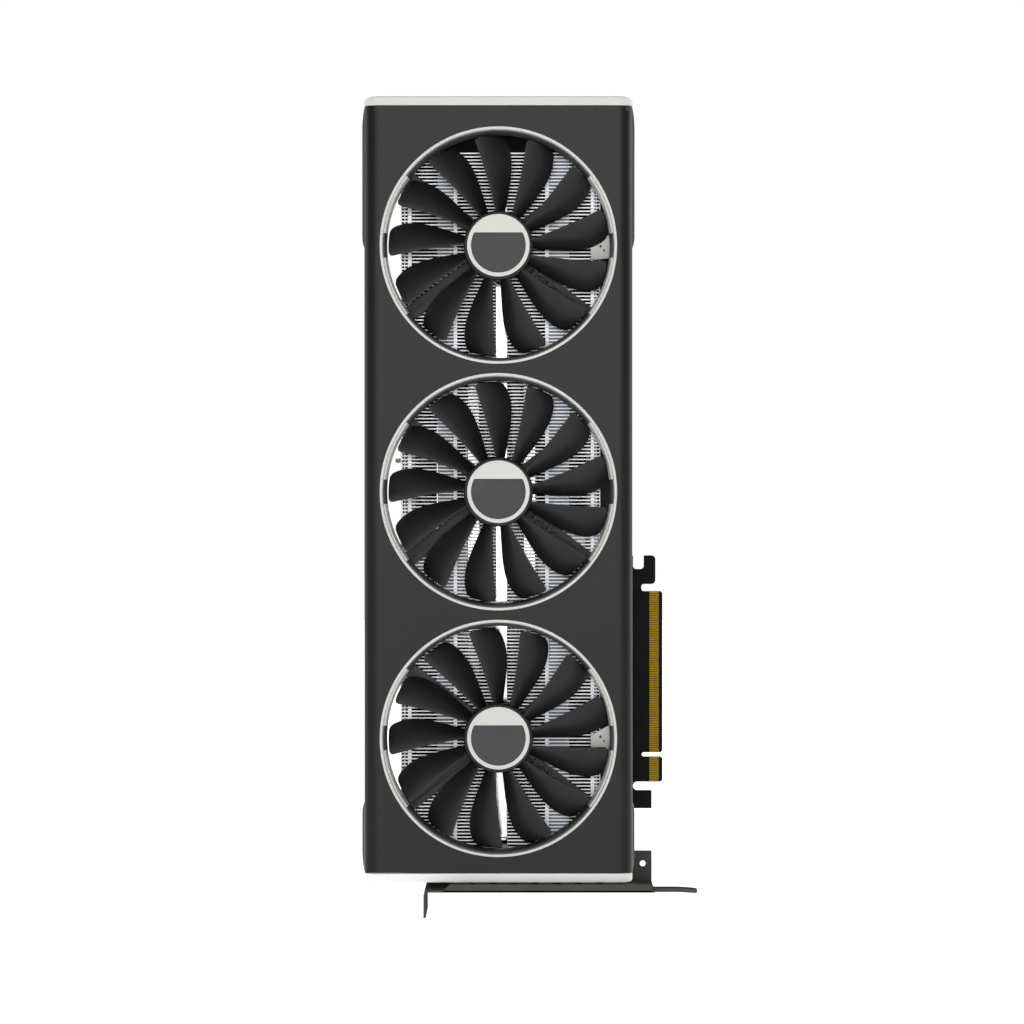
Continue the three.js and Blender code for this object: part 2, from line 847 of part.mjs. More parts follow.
// Display sockets: a metal shell with a contact tongue inside
function displaySocketX(index) {
  return (index - 0.5) * displaySocketPitch; // the origin lies between the first two
}

function makeDisplaySocket(index) {
  const x = displaySocketX(index);
  const half = displaySocketWidth / 2;
  const back = -(boardFront + seat);
  const front = back - displaySocketHeight;
  const wall = displaySocketWall;
  const middle = (front + back) / 2;
  const tongueHalf = displayTongueThickness / 2;
  const inner = half - displayTongueInset;
  const shell = box(x - half, x + half, front, back, mouthSetback, displaySocketLength);
  const mouth = box(
    x - half + wall,
    x + half - wall,
    front + wall,
    back - wall,
    mouthSetback - 1,
    displaySocketRecess,
  );
  const tongue = box(
    x - inner,
    x + inner,
    middle - tongueHalf,
    middle + tongueHalf,
    2 * mouthSetback,
    displaySocketRecess + wall,
  );
  return shell.subtract(mouth).add(tongue);
}

for (let i = 0; i < displaySocketCount; i++) {
  add(`display_socket_${i + 1}`, makeDisplaySocket(i), finishes.socket);
}

// Power sockets on the board's left edge
function powerSocketBoxes(gap) {
  return [...Array(powerSocketCount).keys()].map((index) => {
    const z = powerSocketZ + index * powerSocketPitch;
    const back = -(boardFront + seat);
    return [
      powerMouth - gap,
      -(stackLeft + seat) + gap,
      back - powerSocketHeight - gap,
      back + gap,
      z - powerSocketLength / 2 - gap,
      z + powerSocketLength / 2 + gap,
    ];
  });
}

function makePowerSocket(bounds) {
  const [x0, , y0, y1, z0, z1] = bounds;
  const holes = [];
  for (let row = 0; row < powerHoleRows; row++) {
    for (let columnIndex = 0; columnIndex < powerHoleColumns; columnIndex++) {
      const y = (y0 + y1) / 2 + (row - (powerHoleRows - 1) / 2) * powerHolePitch;
      const z = (z0 + z1) / 2 + (columnIndex - (powerHoleColumns - 1) / 2) * powerHolePitch;
      const half = powerHoleSize / 2;
      holes.push(box(x0 - 1, x0 + powerHoleDepth, y - half, y + half, z - half, z + half));
    }
  }
  return cut(box(...bounds), holes);
}

powerSocketBoxes(0).forEach((bounds, index) => {
  add(`power_socket_${index + 1}`, makePowerSocket(bounds), finishes.plastic);
});

// Firmware switch: a lever that slides along the card in its housing
function switchBox(gap) {
  const back = -(boardFront + seat);
  return [
    -boardLeft - gap,
    -boardLeft + switchDepth + gap,
    back - switchHeight - gap,
    back + gap,
    switchZ - switchLength / 2 - gap,
    switchZ + switchLength / 2 + gap,
  ];
}

function makeSwitch() {
  const [x0, , y0, y1] = switchBox(0);
  const y = (y0 + y1) / 2;
  const halfSlot = leverThickness / 2 + switchGap;
  const halfTravel = (leverLength + switchTravel) / 2 + switchGap;
  const slot = box(
    x0 - 1,
    x0 + leverRoot + switchGap,
    y - halfSlot,
    y + halfSlot,
    switchZ - halfTravel,
    switchZ + halfTravel,
  );
  return box(...switchBox(0)).subtract(slot);
}

function makeLever() {
  const [x0, , y0, y1] = switchBox(0);
  const y = (y0 + y1) / 2;
  const low = switchZ - (leverLength + switchTravel) / 2;
  const half = leverThickness / 2;
  return box(x0 - leverReach, x0 + leverRoot, y - half, y + half, low, low + leverLength);
}

add("firmware_switch", makeSwitch(), finishes.plastic);
add("firmware_switch_lever", makeLever(), finishes.socket);

// Backplate: a plate with lips along its sides and stand-offs to the board
function makeBackplate() {
  const low = backplateStart;
  const high = bodyEnd - backplateTail;
  const right = boardRight;
  const outer = panel(rectangle(-boardLeft, low, right, high), -(backDepth - backplateLip), -backDepth);
  const t = backplateThickness;
  const inner = panel(rectangle(-boardLeft + t, low - 1, right - t, high - t), 0, -backplateInner);
  const half = backplateWindow / 2;
  const windowShape = rectangle(channelCentre - half, chipZ - half, channelCentre + half, chipZ + half);
  const window = panel(windowShape, 0, -backDepth - 1);
  const tab = panel(
    rectangle(powerMouth + powerTabInset, powerTabLow, -boardLeft + t, powerTabHigh),
    -backplateInner,
    -backDepth,
  );
  const middle = (chipZ + half + boardLength) / 2;
  const standoffs = [low + standoffInset, middle, boardLength - standoffInset].flatMap((z) =>
    [-boardLeft + standoffInset, right - standoffInset].map((x) =>
      panel(circle(x, z, standoffRadius), -(boardFront + seat), -(backplateInner + t / 2)),
    ),
  );
  return join([cut(outer, [inner, window]), tab, ...standoffs]);
}

add("backplate", makeBackplate(), finishes.darkMetal);

// Slot bracket, one folded plate: face, screw tab, stiffening flange, tongue and foot
function slotCentre(index) {
  return bracketBack - slotWidth / 2 - index * slotPitch;
}

function grilleOpenings() {
  const left = -bracketLeft + grilleLeftMargin;
  const right = bracketRight - grilleMargin;
  const back = -(boardFront + displaySocketHeight + grilleMargin);
  const front = bracketFront + grilleMargin;
  const stepX = (right - left + grilleBar) / grilleColumns;
  const stepY = (back - front + grilleBar) / grilleRows;
  const openings = [];
  for (let row = 0; row < grilleRows; row++) {
    for (let columnIndex = 0; columnIndex < grilleColumns; columnIndex++) {
      const x = left + columnIndex * stepX;
      const y = front + row * stepY;
      openings.push(box(x, x + stepX - grilleBar, y, y + stepY - grilleBar, -1, bracketThickness + 1));
    }
  }
  return openings;
}

function socketOpenings() {
  return [...Array(displaySocketCount).keys()].map((index) => {
    const x = displaySocketX(index);
    const half = displaySocketWidth / 2 + seat;
    const back = -boardFront;
    const front = back - displaySocketHeight - 2 * seat;
    return box(x - half, x + half, front, back, -1, bracketThickness + 1);
  });
}

function makeTongue() {
  const y = slotCentre(tongueSlot);
  const half = tongueWidth / 2;
  const end = bracketLength - bracketLeft;
  const start = bracketRight - 1;
  const bend = (start + end) / 2;
  const t = bracketThickness;
  const profile = outline([
    [start, 0],
    [bend, 0],
    [end, -tongueDrop],
    [end, t - tongueDrop],
    [bend, t],
    [start, t],
  ]);
  const geometry = extrude(profile, tongueWidth);
  geometry.rotateX(Math.PI / 2);
  geometry.translate(0, y + half, 0);
  return solidOf(geometry);
}

function tabNotches() {
  return [...Array(slotCount).keys()].map((index) => {
    const y = slotCentre(index) + tabNotchOffset;
    const half = tabNotchWidth / 2;
    const floor = -tabLength + tabNotchDepth;
    const shape = new THREE.Shape();
    shape.moveTo(y - half, -tabLength - 1);
    shape.lineTo(y + half, -tabLength - 1);
    shape.lineTo(y + half, floor - half);
    shape.absarc(y, floor - half, half, 0, Math.PI);
    return bar(shape, -bracketLeft - 1, -bracketLeft + bracketThickness + 1);
  });
}

function makeBracket() {
  const t = bracketThickness;
  const face = box(-bracketLeft, bracketRight, bracketFront, bracketBack, 0, t);
  const tab = box(-bracketLeft, -bracketLeft + t, bracketFront, bracketBack, -tabLength, t);
  const flange = panel(
    outline([
      [-flangeLeft, 0],
      [flangeRight, 0],
      [flangeRight, flangeHeight],
      [-flangeLeft + flangeHeight, flangeHeight],
    ]),
    -bracketFront,
    -bracketFront - t,
  );
  const foot = panel(
    rectangle(bracketRight - footReach, 0, bracketRight, footLength),
    boardFront + seat + footThickness,
    boardFront + seat,
  );
  const footHole = panel(circle(footHoleX, footHoleZ, footHoleRadius), boardFront + 2 * footThickness, 0);
  const plate = cut(join([face, tab]), [...grilleOpenings(), ...socketOpenings(), ...tabNotches()]);
  return join([plate, flange, foot.subtract(footHole), makeTongue()]);
}

add("slot_bracket", makeBracket(), finishes.bracket);

export default card;
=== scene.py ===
import math
import random
import bmesh
import bpy
from mathutils import Matrix, Vector


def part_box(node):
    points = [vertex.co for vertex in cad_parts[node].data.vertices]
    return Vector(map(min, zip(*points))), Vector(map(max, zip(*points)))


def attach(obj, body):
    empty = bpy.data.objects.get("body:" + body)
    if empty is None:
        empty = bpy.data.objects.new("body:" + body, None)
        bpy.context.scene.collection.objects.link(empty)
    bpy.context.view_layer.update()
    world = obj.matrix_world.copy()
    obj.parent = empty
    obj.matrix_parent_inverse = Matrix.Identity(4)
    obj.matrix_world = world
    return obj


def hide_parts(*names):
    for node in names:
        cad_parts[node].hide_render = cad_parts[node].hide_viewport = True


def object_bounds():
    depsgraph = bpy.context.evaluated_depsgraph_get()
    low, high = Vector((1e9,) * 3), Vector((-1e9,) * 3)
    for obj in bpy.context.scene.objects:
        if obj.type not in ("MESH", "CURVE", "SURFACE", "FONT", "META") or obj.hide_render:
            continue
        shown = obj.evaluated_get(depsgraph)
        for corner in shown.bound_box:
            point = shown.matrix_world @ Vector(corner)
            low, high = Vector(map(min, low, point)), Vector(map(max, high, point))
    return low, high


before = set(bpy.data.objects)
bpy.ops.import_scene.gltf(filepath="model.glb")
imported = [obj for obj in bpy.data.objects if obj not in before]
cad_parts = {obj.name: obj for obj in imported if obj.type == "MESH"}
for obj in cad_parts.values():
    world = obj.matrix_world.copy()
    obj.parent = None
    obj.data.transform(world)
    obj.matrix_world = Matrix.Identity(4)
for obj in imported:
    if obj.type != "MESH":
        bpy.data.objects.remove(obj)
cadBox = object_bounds()
mm = 0.001  # everything below is in millimetres, and placePiece turns it into metres
print("frame loaded with", len(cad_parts), "nodes")


def nodeBox(name):
    low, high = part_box(name)
    return low / mm, high / mm


def nodeMiddle(name):
    return [(a + b) / 2 for a, b in zip(*nodeBox(name))]  # x, y and z


# small mesh tools

facings = {
    "z": Matrix.Identity(4),
    "y": Matrix(((1, 0, 0, 0), (0, 0, 1, 0), (0, 1, 0, 0), (0, 0, 0, 1))),  # outline in x and z
    "x": Matrix(((0, 0, 1, 0), (1, 0, 0, 0), (0, 1, 0, 0), (0, 0, 0, 1))),  # outline in y and z
}


def merge(target, *parts):
    for part in parts:
        mesh = bpy.data.meshes.new("part")
        part.to_mesh(mesh)
        part.free()
        target.from_mesh(mesh)
        bpy.data.meshes.remove(mesh)
    return target


def plate(outlines, low, high, facing, bevel=0.0, steps=2):
    # a filled outline with its holes, between two depths, its edges rounded by bevel
    curve = bpy.data.curves.new("plate", "CURVE")
    curve.dimensions = "2D"
    curve.fill_mode = "BOTH"
    curve.extrude = (high - low) / 2 - bevel
    curve.bevel_depth = bevel
    curve.bevel_resolution = steps
    curve.offset = -bevel
    for points in outlines:
        spline = curve.splines.new("POLY")
        spline.points.add(len(points) - 1)
        for target, point in zip(spline.points, points):
            target.co = (point[0], point[1], 0, 1)
        spline.use_cyclic_u = True
    holder = bpy.data.objects.new("plate", curve)
    mesh = bpy.data.meshes.new_from_object(holder)
    bm = bmesh.new()
    bm.from_mesh(mesh)
    bpy.data.objects.remove(holder)
    bpy.data.curves.remove(curve)
    bpy.data.meshes.remove(mesh)
    bmesh.ops.remove_doubles(bm, verts=bm.verts[:], dist=0.003)
    bmesh.ops.translate(bm, vec=(0, 0, (low + high) / 2), verts=bm.verts[:])
    bm.transform(facings[facing])
    bmesh.ops.recalc_face_normals(bm, faces=bm.faces[:])
    return bm


def block(low, high, bevel=0.0, steps=2):
    bm = bmesh.new()
    bmesh.ops.create_cube(bm, size=1)
    size = [b - a for a, b in zip(low, high)]
    middle = [(a + b) / 2 for a, b in zip(low, high)]
    bmesh.ops.scale(bm, vec=size, verts=bm.verts[:])
    bmesh.ops.translate(bm, vec=middle, verts=bm.verts[:])
    if bevel:
        bmesh.ops.bevel(
            bm, geom=bm.edges[:], offset=bevel, segments=steps, profile=0.5, affect="EDGES"
        )
    return bm


def skin(bm, rows, whole=False):
    # joins closed rows of points into one surface, capped at both ends unless it comes round again
    pairs = zip(rows, rows[1:] + rows[:1]) if whole else zip(rows, rows[1:])
    for a, b in pairs:
        for i in range(len(a)):
            j = (i + 1) % len(a)
            bm.faces.new((a[i], b[i], b[j], a[j]))
    if not whole:
        bm.faces.new(rows[0])
        bm.faces.new(rows[-1])


def turned(profile, centre, steps=96, start=0.0, end=360.0, x=0.0):
    # a closed profile of radius and y, turned about the fan axis; degrees run clockwise from the top
    bm = bmesh.new()
    rows = []
    whole = end - start >= 360
    for k in range(steps if whole else steps + 1):
        angle = math.radians(start + (end - start) * k / steps)
        rows.append(
            [
                bm.verts.new((x + r * math.sin(angle), y, centre + r * math.cos(angle)))
                for r, y in profile
            ]
        )
    skin(bm, rows, whole)
    bmesh.ops.remove_doubles(bm, verts=bm.verts[:], dist=0.001)
    bmesh.ops.dissolve_degenerate(bm, dist=0.001, edges=bm.edges[:])
    bmesh.ops.recalc_face_normals(bm, faces=bm.faces[:])
    return bm


def tube(points, radius, steps):
    # a round bar through a list of points
    bm = bmesh.new()
    rings = []
    stations = [Vector(p) for p in points]
    angles = [2 * math.pi * i / steps for i in range(steps)]
    for k, point in enumerate(stations):
        ahead = stations[min(k + 1, len(stations) - 1)] - stations[max(k - 1, 0)]
        turn = ahead.to_track_quat("Z", "Y").to_matrix()
        circle = [Vector((radius * math.cos(a), radius * math.sin(a), 0)) for a in angles]
        rings.append([bm.verts.new(point + turn @ spot) for spot in circle])
    skin(bm, rings)
    bmesh.ops.recalc_face_normals(bm, faces=bm.faces[:])
    return bm


def circleOutline(x, y, radius, steps=48, start=0.0, end=360.0):
    whole = end - start >= 360
    count = steps if whole else steps + 1
    angles = [math.radians(start + (end - start) * k / steps) for k in range(count)]
    return [(x + radius * math.cos(a), y + radius * math.sin(a)) for a in angles]


def rectangle(x0, y0, x1, y1):
    return [(x0, y0), (x1, y0), (x1, y1), (x0, y1)]


def softened(points, radius, steps=6):
    # an outline with rounded corners; a point's own third number overrides the radius
    result = []
    for i, point in enumerate(points):
        corner = Vector(point[:2])
        wanted = point[2] if len(point) > 2 else radius
        before = Vector(points[i - 1][:2]) - corner
        after = Vector(points[(i + 1) % len(points)][:2]) - corner
        if wanted <= 0:
            result.append(tuple(corner))
            continue
        half = before.angle(after) / 2
        reach = min(wanted / math.tan(half), 0.49 * min(before.length, after.length))
        radiusHere = reach * math.tan(half)
        inward = (before.normalized() + after.normalized()).normalized()
        centre = corner + inward * radiusHere / math.sin(half)
        first = corner + before.normalized() * reach - centre
        last = corner + after.normalized() * reach - centre
        begin = math.atan2(first.y, first.x)
        sweep = (math.atan2(last.y, last.x) - begin + math.pi) % (2 * math.pi) - math.pi
        for k in range(steps + 1):
            a = begin + sweep * k / steps
            result.append((centre.x + radiusHere * math.cos(a), centre.y + radiusHere * math.sin(a)))
    return result


def carve(body, tools, operation="DIFFERENCE"):
    # cuts the tools from a body, or joins them to it
    group = bpy.data.collections.new("tools")
    bpy.context.scene.collection.children.link(group)
    made = []
    for bm in [body, *tools]:
        mesh = bpy.data.meshes.new("carved")
        bmesh.ops.recalc_face_normals(bm, faces=bm.faces[:])
        bm.to_mesh(mesh)
        bm.free()
        made.append(bpy.data.objects.new("carved", mesh))
    bpy.context.scene.collection.objects.link(made[0])
    for tool in made[1:]:
        group.objects.link(tool)
    modifier = made[0].modifiers.new("carve", "BOOLEAN")
    modifier.operand_type = "COLLECTION"
    modifier.collection = group
    modifier.operation = operation
    modifier.solver = "EXACT"
    depsgraph = bpy.context.evaluated_depsgraph_get()
    result = bpy.data.meshes.new_from_object(made[0].evaluated_get(depsgraph))
    bm = bmesh.new()
    bm.from_mesh(result)
    for piece in made:
        mesh = piece.data
        bpy.data.objects.remove(piece)
        bpy.data.meshes.remove(mesh)
    bpy.data.collections.remove(group)
    bpy.data.meshes.remove(result)
    return bm


def softenEdges(piece, width, flattest):
    edge = piece.modifiers.new("softEdges", "BEVEL")
    edge.width = width * mm
    edge.segments = 2
    edge.limit_method = "ANGLE"
    edge.angle_limit = math.radians(flattest)


def placePiece(name, bm, finish, body="root", nodes=(), angle=32, bevel=0.0):
    bmesh.ops.remove_doubles(bm, verts=bm.verts[:], dist=0.0005)
    bmesh.ops.recalc_face_normals(bm, faces=bm.faces[:])
    bmesh.ops.scale(bm, vec=(mm, mm, mm), verts=bm.verts[:])
    mesh = bpy.data.meshes.new(name)
    bm.to_mesh(mesh)
    bm.free()
    mesh.shade_smooth()
    mesh.set_sharp_from_angle(angle=math.radians(angle))
    piece = bpy.data.objects.new(name, mesh)
    bpy.context.scene.collection.objects.link(piece)
    mesh.materials.append(finish)
    if bevel:
        softenEdges(piece, bevel, 35)
    even = piece.modifiers.new("evenShading", "WEIGHTED_NORMAL")
    even.keep_sharp = True
    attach(piece, body)
    if nodes:
        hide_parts(*nodes)
    return piece


# finishes: a colour that drifts between two tones, with its own grain, roughness and bump


def noiseNode(tree, vector, scale, detail=3.0):
    noise = tree.nodes.new("ShaderNodeTexNoise")
    noise.inputs["Scale"].default_value = scale
    noise.inputs["Detail"].default_value = detail
    tree.links.new(vector, noise.inputs["Vector"])
    return noise.outputs["Fac"]


def rangeNode(tree, value, low, high, fromLow=0.3, fromHigh=0.7):
    spread = tree.nodes.new("ShaderNodeMapRange")
    spread.inputs["From Min"].default_value = fromLow
    spread.inputs["From Max"].default_value = fromHigh
    spread.inputs["To Min"].default_value = low
    spread.inputs["To Max"].default_value = high
    tree.links.new(value, spread.inputs["Value"])
    return spread.outputs["Result"]


def mathNode(tree, operation, *values):
    node = tree.nodes.new("ShaderNodeMath")
    node.operation = operation
    for socket, value in zip(node.inputs, values):
        tree.links.new(value, socket)
    return node.outputs["Value"]


def mixNode(tree, factor, first, second):
    mix = tree.nodes.new("ShaderNodeMix")
    mix.data_type = "RGBA"
    tree.links.new(factor, mix.inputs["Factor"])
    for socket, value in ((mix.inputs[6], first), (mix.inputs[7], second)):
        if isinstance(value, tuple):
            socket.default_value = (*value, 1)
        else:
            tree.links.new(value, socket)
    return mix.outputs[2]


def makeFinish(name, look):
    material = bpy.data.materials.new(name)
    material.use_nodes = True
    tree = material.node_tree
    shader = tree.nodes["Principled BSDF"]
    place = tree.nodes.new("ShaderNodeTexCoord")
    stretch = tree.nodes.new("ShaderNodeMapping")
    stretch.inputs["Scale"].default_value = look.get("stretch", (1, 1, 1))
    tree.links.new(place.outputs["Object"], stretch.inputs["Vector"])
    vector = stretch.outputs["Vector"]
    patches = rangeNode(tree, noiseNode(tree, vector, look.get("patch", 60)), 0, 1)
    colour = mixNode(tree, patches, look["colour"], look["tone"])
    tree.links.new(colour, shader.inputs["Base Color"])
    grain = noiseNode(tree, vector, look.get("grain", 1500), 4)
    rough = look["rough"]
    tree.links.new(rangeNode(tree, grain, rough[0], rough[1]), shader.inputs["Roughness"])
    bump = tree.nodes.new("ShaderNodeBump")
    bump.inputs["Strength"].default_value = look.get("bump", 0.1)
    bump.inputs["Distance"].default_value = look.get("depth", 0.05) * mm
    tree.links.new(grain, bump.inputs["Height"])
    tree.links.new(bump.outputs["Normal"], shader.inputs["Normal"])
    shader.inputs["Metallic"].default_value = look.get("metal", 0)
    shader.inputs["Specular IOR Level"].default_value = look.get("shine", 0.5)
    shader.inputs["Coat Weight"].default_value = look.get("coat", 0)
    shader.inputs["Coat Roughness"].default_value = look.get("coatRough", 0.1)
    return material


def repaint(node, finish, bevel):
    # a CAD node that keeps its shape takes a finish and softer edges
    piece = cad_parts[node]
    piece.data.materials.clear()
    piece.data.materials.append(finish)
    softenEdges(piece, bevel, 40)


# camera and studio

view = {
    "place": (0.00597, -2.24, 0.1661),  # level with the middle of the card, square on to its fans
    "lens": 176,
    "front": 4.2,  # brightness of the soft light straight in front
    "between": 0.2,
    "sides": (2.2, 3.4),  # left and right
    "behind": 0.9,
    "above": 0.5,
    "frontEdge": (0.032, 0.085),  # the soft light in front fades out between these
    "behindEdge": (0.55, 0.8),  # and the one behind fades in
    "floorDrop": 1.0,  # the floor below the card's lowest point
    "floorHalf": 6000,
    "floorGlow": 0.9,
}


def makeCamera():
    lens = bpy.data.cameras.new("camera")
    lens.lens = view["lens"]
    lens.sensor_width = 36
    camera = bpy.data.objects.new("camera", lens)
    camera.location = view["place"]
    camera.rotation_euler = (math.radians(90), 0, 0)
    bpy.context.scene.collection.objects.link(camera)
    bpy.context.scene.camera = camera


def makeStudioLight():
    # white to look at; the light itself is soft patches in front, at each side, behind and above
    world = bpy.data.worlds.new("studio")
    bpy.context.scene.world = world
    world.use_nodes = True
    tree = world.node_tree
    tree.nodes.clear()
    output = tree.nodes.new("ShaderNodeOutputWorld")
    mix = tree.nodes.new("ShaderNodeMixShader")
    seen = tree.nodes.new("ShaderNodeBackground")
    light = tree.nodes.new("ShaderNodeBackground")
    path = tree.nodes.new("ShaderNodeLightPath")
    place = tree.nodes.new("ShaderNodeTexCoord")
    parts = tree.nodes.new("ShaderNodeSeparateXYZ")
    ramp = tree.nodes.new("ShaderNodeValToRGB")
    seen.inputs["Color"].default_value = (1, 1, 1, 1)
    tree.links.new(place.outputs["Generated"], parts.inputs["Vector"])
    across, along, up = (parts.outputs[axis] for axis in "XYZ")
    tree.links.new(rangeNode(tree, along, 0, 1, -1, 1), ramp.inputs["Fac"])
    front, between, behind = view["front"], view["between"], view["behind"]
    frontOut, frontEnd = view["frontEdge"]
    behindStart, behindFull = view["behindEdge"]
    stops = [(0.0, front), (frontOut, front), (frontEnd, between)]
    stops += [(behindStart, between), (behindFull, behind)]
    while len(ramp.color_ramp.elements) < len(stops):
        ramp.color_ramp.elements.new(0.5)
    for element, (position, value) in zip(ramp.color_ramp.elements, stops):
        element.position = position
        element.color = (value, value, value, 1)
    reach = mathNode(tree, "ABSOLUTE", across)
    outward = rangeNode(tree, reach, 0, 1, 0.65, 0.85)
    backward = rangeNode(tree, along, 0, 1, -0.25, 0.0)
    patch = mathNode(tree, "MULTIPLY", outward, backward)
    level = rangeNode(tree, across, *view["sides"], -1, 1)
    sides = mathNode(tree, "MULTIPLY", patch, level)
    above = rangeNode(tree, up, 0, view["above"], 0.55, 0.95)
    around = mathNode(tree, "MAXIMUM", ramp.outputs["Color"], sides)
    strength = mathNode(tree, "MAXIMUM", around, above)
    tree.links.new(strength, light.inputs["Strength"])
    tree.links.new(path.outputs["Is Camera Ray"], mix.inputs["Fac"])
    tree.links.new(light.outputs["Background"], mix.inputs[1])
    tree.links.new(seen.outputs["Background"], mix.inputs[2])
    tree.links.new(mix.outputs["Shader"], output.inputs["Surface"])


def makeFloor():
    height = cadBox[0].z - view["floorDrop"] * mm
    half = view["floorHalf"] * mm
    mesh = bpy.data.meshes.new("floor")
    corners = [(-half, -half, height), (half, -half, height), (half, half, height), (-half, half, height)]
    mesh.from_pydata(corners, [], [(0, 1, 2, 3)])
    floor = bpy.data.objects.new("floor", mesh)
    bpy.context.scene.collection.objects.link(floor)
    paperLook = {"colour": (0.86, 0.86, 0.86), "tone": (0.88, 0.88, 0.88), "rough": (0.8, 0.9), "shine": 0}
    paper = makeFinish("paperFloor", paperLook)
    shader = paper.node_tree.nodes["Principled BSDF"]
    shader.inputs["Emission Color"].default_value = (1, 1, 1, 1)
    shader.inputs["Emission Strength"].default_value = view["floorGlow"]
    mesh.materials.append(paper)


makeCamera()
makeStudioLight()
makeFloor()
bpy.context.scene.view_settings.view_transform = "Standard"
print("camera, light and floor ready")

# screws that several pieces use


def screwHead(x, y, z, radius, height, towards=-1):
    # a domed head with a cross recess, its seat at y, facing along y
    dome = [(0, 0), (radius, 0), (radius, 0.45 * height)]
    dome += [
        (radius * math.cos(a), 0.45 * height + 0.55 * height * math.sin(a))
        for a in [math.pi / 2 * k / 5 for k in range(1, 6)]
    ]
    bm = turned([(r, towards * h) for r, h in dome], 0, steps=24)
    arm = 0.62 * radius
    half = 0.13 * radius
    deep = sorted((towards * 0.5 * height, towards * 1.4 * height))
    slots = [
        block((-arm, deep[0], -half), (arm, deep[1], half)),
        block((-half, deep[0], -arm), (half, deep[1], arm)),
    ]
    bm = carve(bm, slots)
    bmesh.ops.translate(bm, vec=(x, y, z), verts=bm.verts[:])
    return bm


# the fan rings' own sizes, which the shell's openings use as well

ring = {
    "lip": 1.05,
    "wall": 2,
    "flare": 1.4,
    "flareDepth": 9,
    "steps": 160,
    "wallArc": 37,  # the bright duct wall spans this far above and below the centreline
    "clipArc": 6.2,  # a dark clip breaks it at the centreline
}

# cooler shell

shell = {
    "edgeWidth": 7.4,  # its long edges are rounded over this much of the face
    "edgeDepth": 5,
    "wall": 2,
    "leftBack": -14,  # the left wall ends here
    "edgeSteps": 12,
    "ventCount": 11,
    "ventFront": -41,
    "ventBack": -20,
    "ventLength": 20,
    "ventSlant": 5,
    "ventMargin": 9,
    "ventCorner": 1.6,
    "bulgeLength": 62,
    "bulgeFront": -44,
    "bulgeBack": -15,
    "bulgeRamp": 5,
    "endRamp": 9,  # it rises more gently from the trims
    "bulgeRise": ((0.35, 0.62), (0.68, 0.9), (1, 1)),  # shares of the ramp, and of the height there
    "endWallLeft": -40.6,
    "openingGap": 0.3,  # round each fan ring
    "finish": {
        "colour": (0.0055, 0.0055, 0.0055), "tone": (0.0075, 0.0075, 0.0077), "patch": 25,
        "grain": 2600, "rough": (0.28, 0.32), "bump": 0.06, "depth": 0.03, "shine": 0.225,
    },
}
shellLow, shellHigh = nodeBox("shroud")
trimLow, trimHigh = nodeBox("bracket_trim")
tailLow, tailHigh = nodeBox("tail_trim")
ringLow, ringHigh = nodeBox("ring_trim_1")
halfWidth = trimHigh.x
faceY = trimLow.y
lipRadius = (ringHigh.x - ringLow.x) / 2


def fanHeight(number):
    return nodeMiddle(f"shaft_{number}")[2]


def wrapOutline(inset, leftBack, rightBack):
    # the face and both sides, with its two long edges rounded
    side = halfWidth - inset
    front = faceY + inset
    width = shell["edgeWidth"] - inset
    depth = shell["edgeDepth"] - inset
    turns = [math.pi / 2 * k / shell["edgeSteps"] for k in range(shell["edgeSteps"] + 1)]
    left = [(-side + width * (1 - math.cos(a)), front + depth * (1 - math.sin(a))) for a in turns]
    right = [(-x, y) for x, y in reversed(left)]
    return [(-side, leftBack), *left, *right, (side, rightBack)]


def sideBulge(side, low, high, rampLow, rampHigh):
    bm = bmesh.new()
    top = side * shellHigh.x
    base = side * (halfWidth - 1)
    edge = side * (halfWidth - 0.02)
    front, back = shell["bulgeFront"], shell["bulgeBack"]
    for x, z in ((base, low), (edge, low), (base, high), (edge, high)):
        bm.verts.new((x, front, z))
        bm.verts.new((x, back, z))
    for y in (front + 1.5, back - 1.5):
        for share, rise in shell["bulgeRise"]:
            x = edge + (top - edge) * rise
            bm.verts.new((x, y, low + rampLow * share))
            bm.verts.new((x, y, high - rampHigh * share))
    bmesh.ops.convex_hull(bm, input=bm.verts[:])
    return bm


def makeShell():
    start, end = shellLow.z, shellHigh.z
    wall = shell["wall"]
    back = wrapOutline(0, shell["leftBack"], trimHigh.y)
    back += [(halfWidth - wall, trimHigh.y), (halfWidth - wall, shell["leftBack"])]
    body = plate([back], start, end, "z")
    bulges = []
    length, ramp, endRamp = shell["bulgeLength"], shell["bulgeRamp"], shell["endRamp"]
    for side in (-1, 1):
        bulges.append(sideBulge(side, start, start + length / 2, endRamp, ramp))
        bulges.append(sideBulge(side, end - length, end, ramp, endRamp))
    body = carve(body, bulges, "UNION")
    tools = [plate([wrapOutline(wall, 3, 3)], start - 5, end - wall, "z")]
    opening = lipRadius - ring["lip"] + shell["openingGap"]
    for number in (1, 2, 3):
        edge = circleOutline(0, fanHeight(number), opening, 128)
        tools.append(plate([edge], faceY - 2, faceY + wall + 1.5, "y"))
    run = end - start - 2 * shell["ventMargin"] - shell["ventLength"] - shell["ventSlant"]
    for i in range(shell["ventCount"]):
        z = start + shell["ventMargin"] + run * i / (shell["ventCount"] - 1)
        slant, length = shell["ventSlant"], shell["ventLength"]
        front, rear = shell["ventFront"], shell["ventBack"]
        hole = [(front, z), (rear, z + slant), (rear, z + slant + length), (front, z + length)]
        hole = softened(hole, shell["ventCorner"])
        tools.append(plate([hole], -halfWidth - 9, -halfWidth + 7, "x"))
        tools.append(plate([hole], halfWidth - 7, halfWidth + 9, "x"))
    body = carve(body, tools)
    wallRight = nodeBox("backplate")[1].x - 1.5
    endWall = block((shell["endWallLeft"], faceY + 1, end - wall), (wallRight, shellHigh.y, end - 0.01))
    return merge(body, endWall)


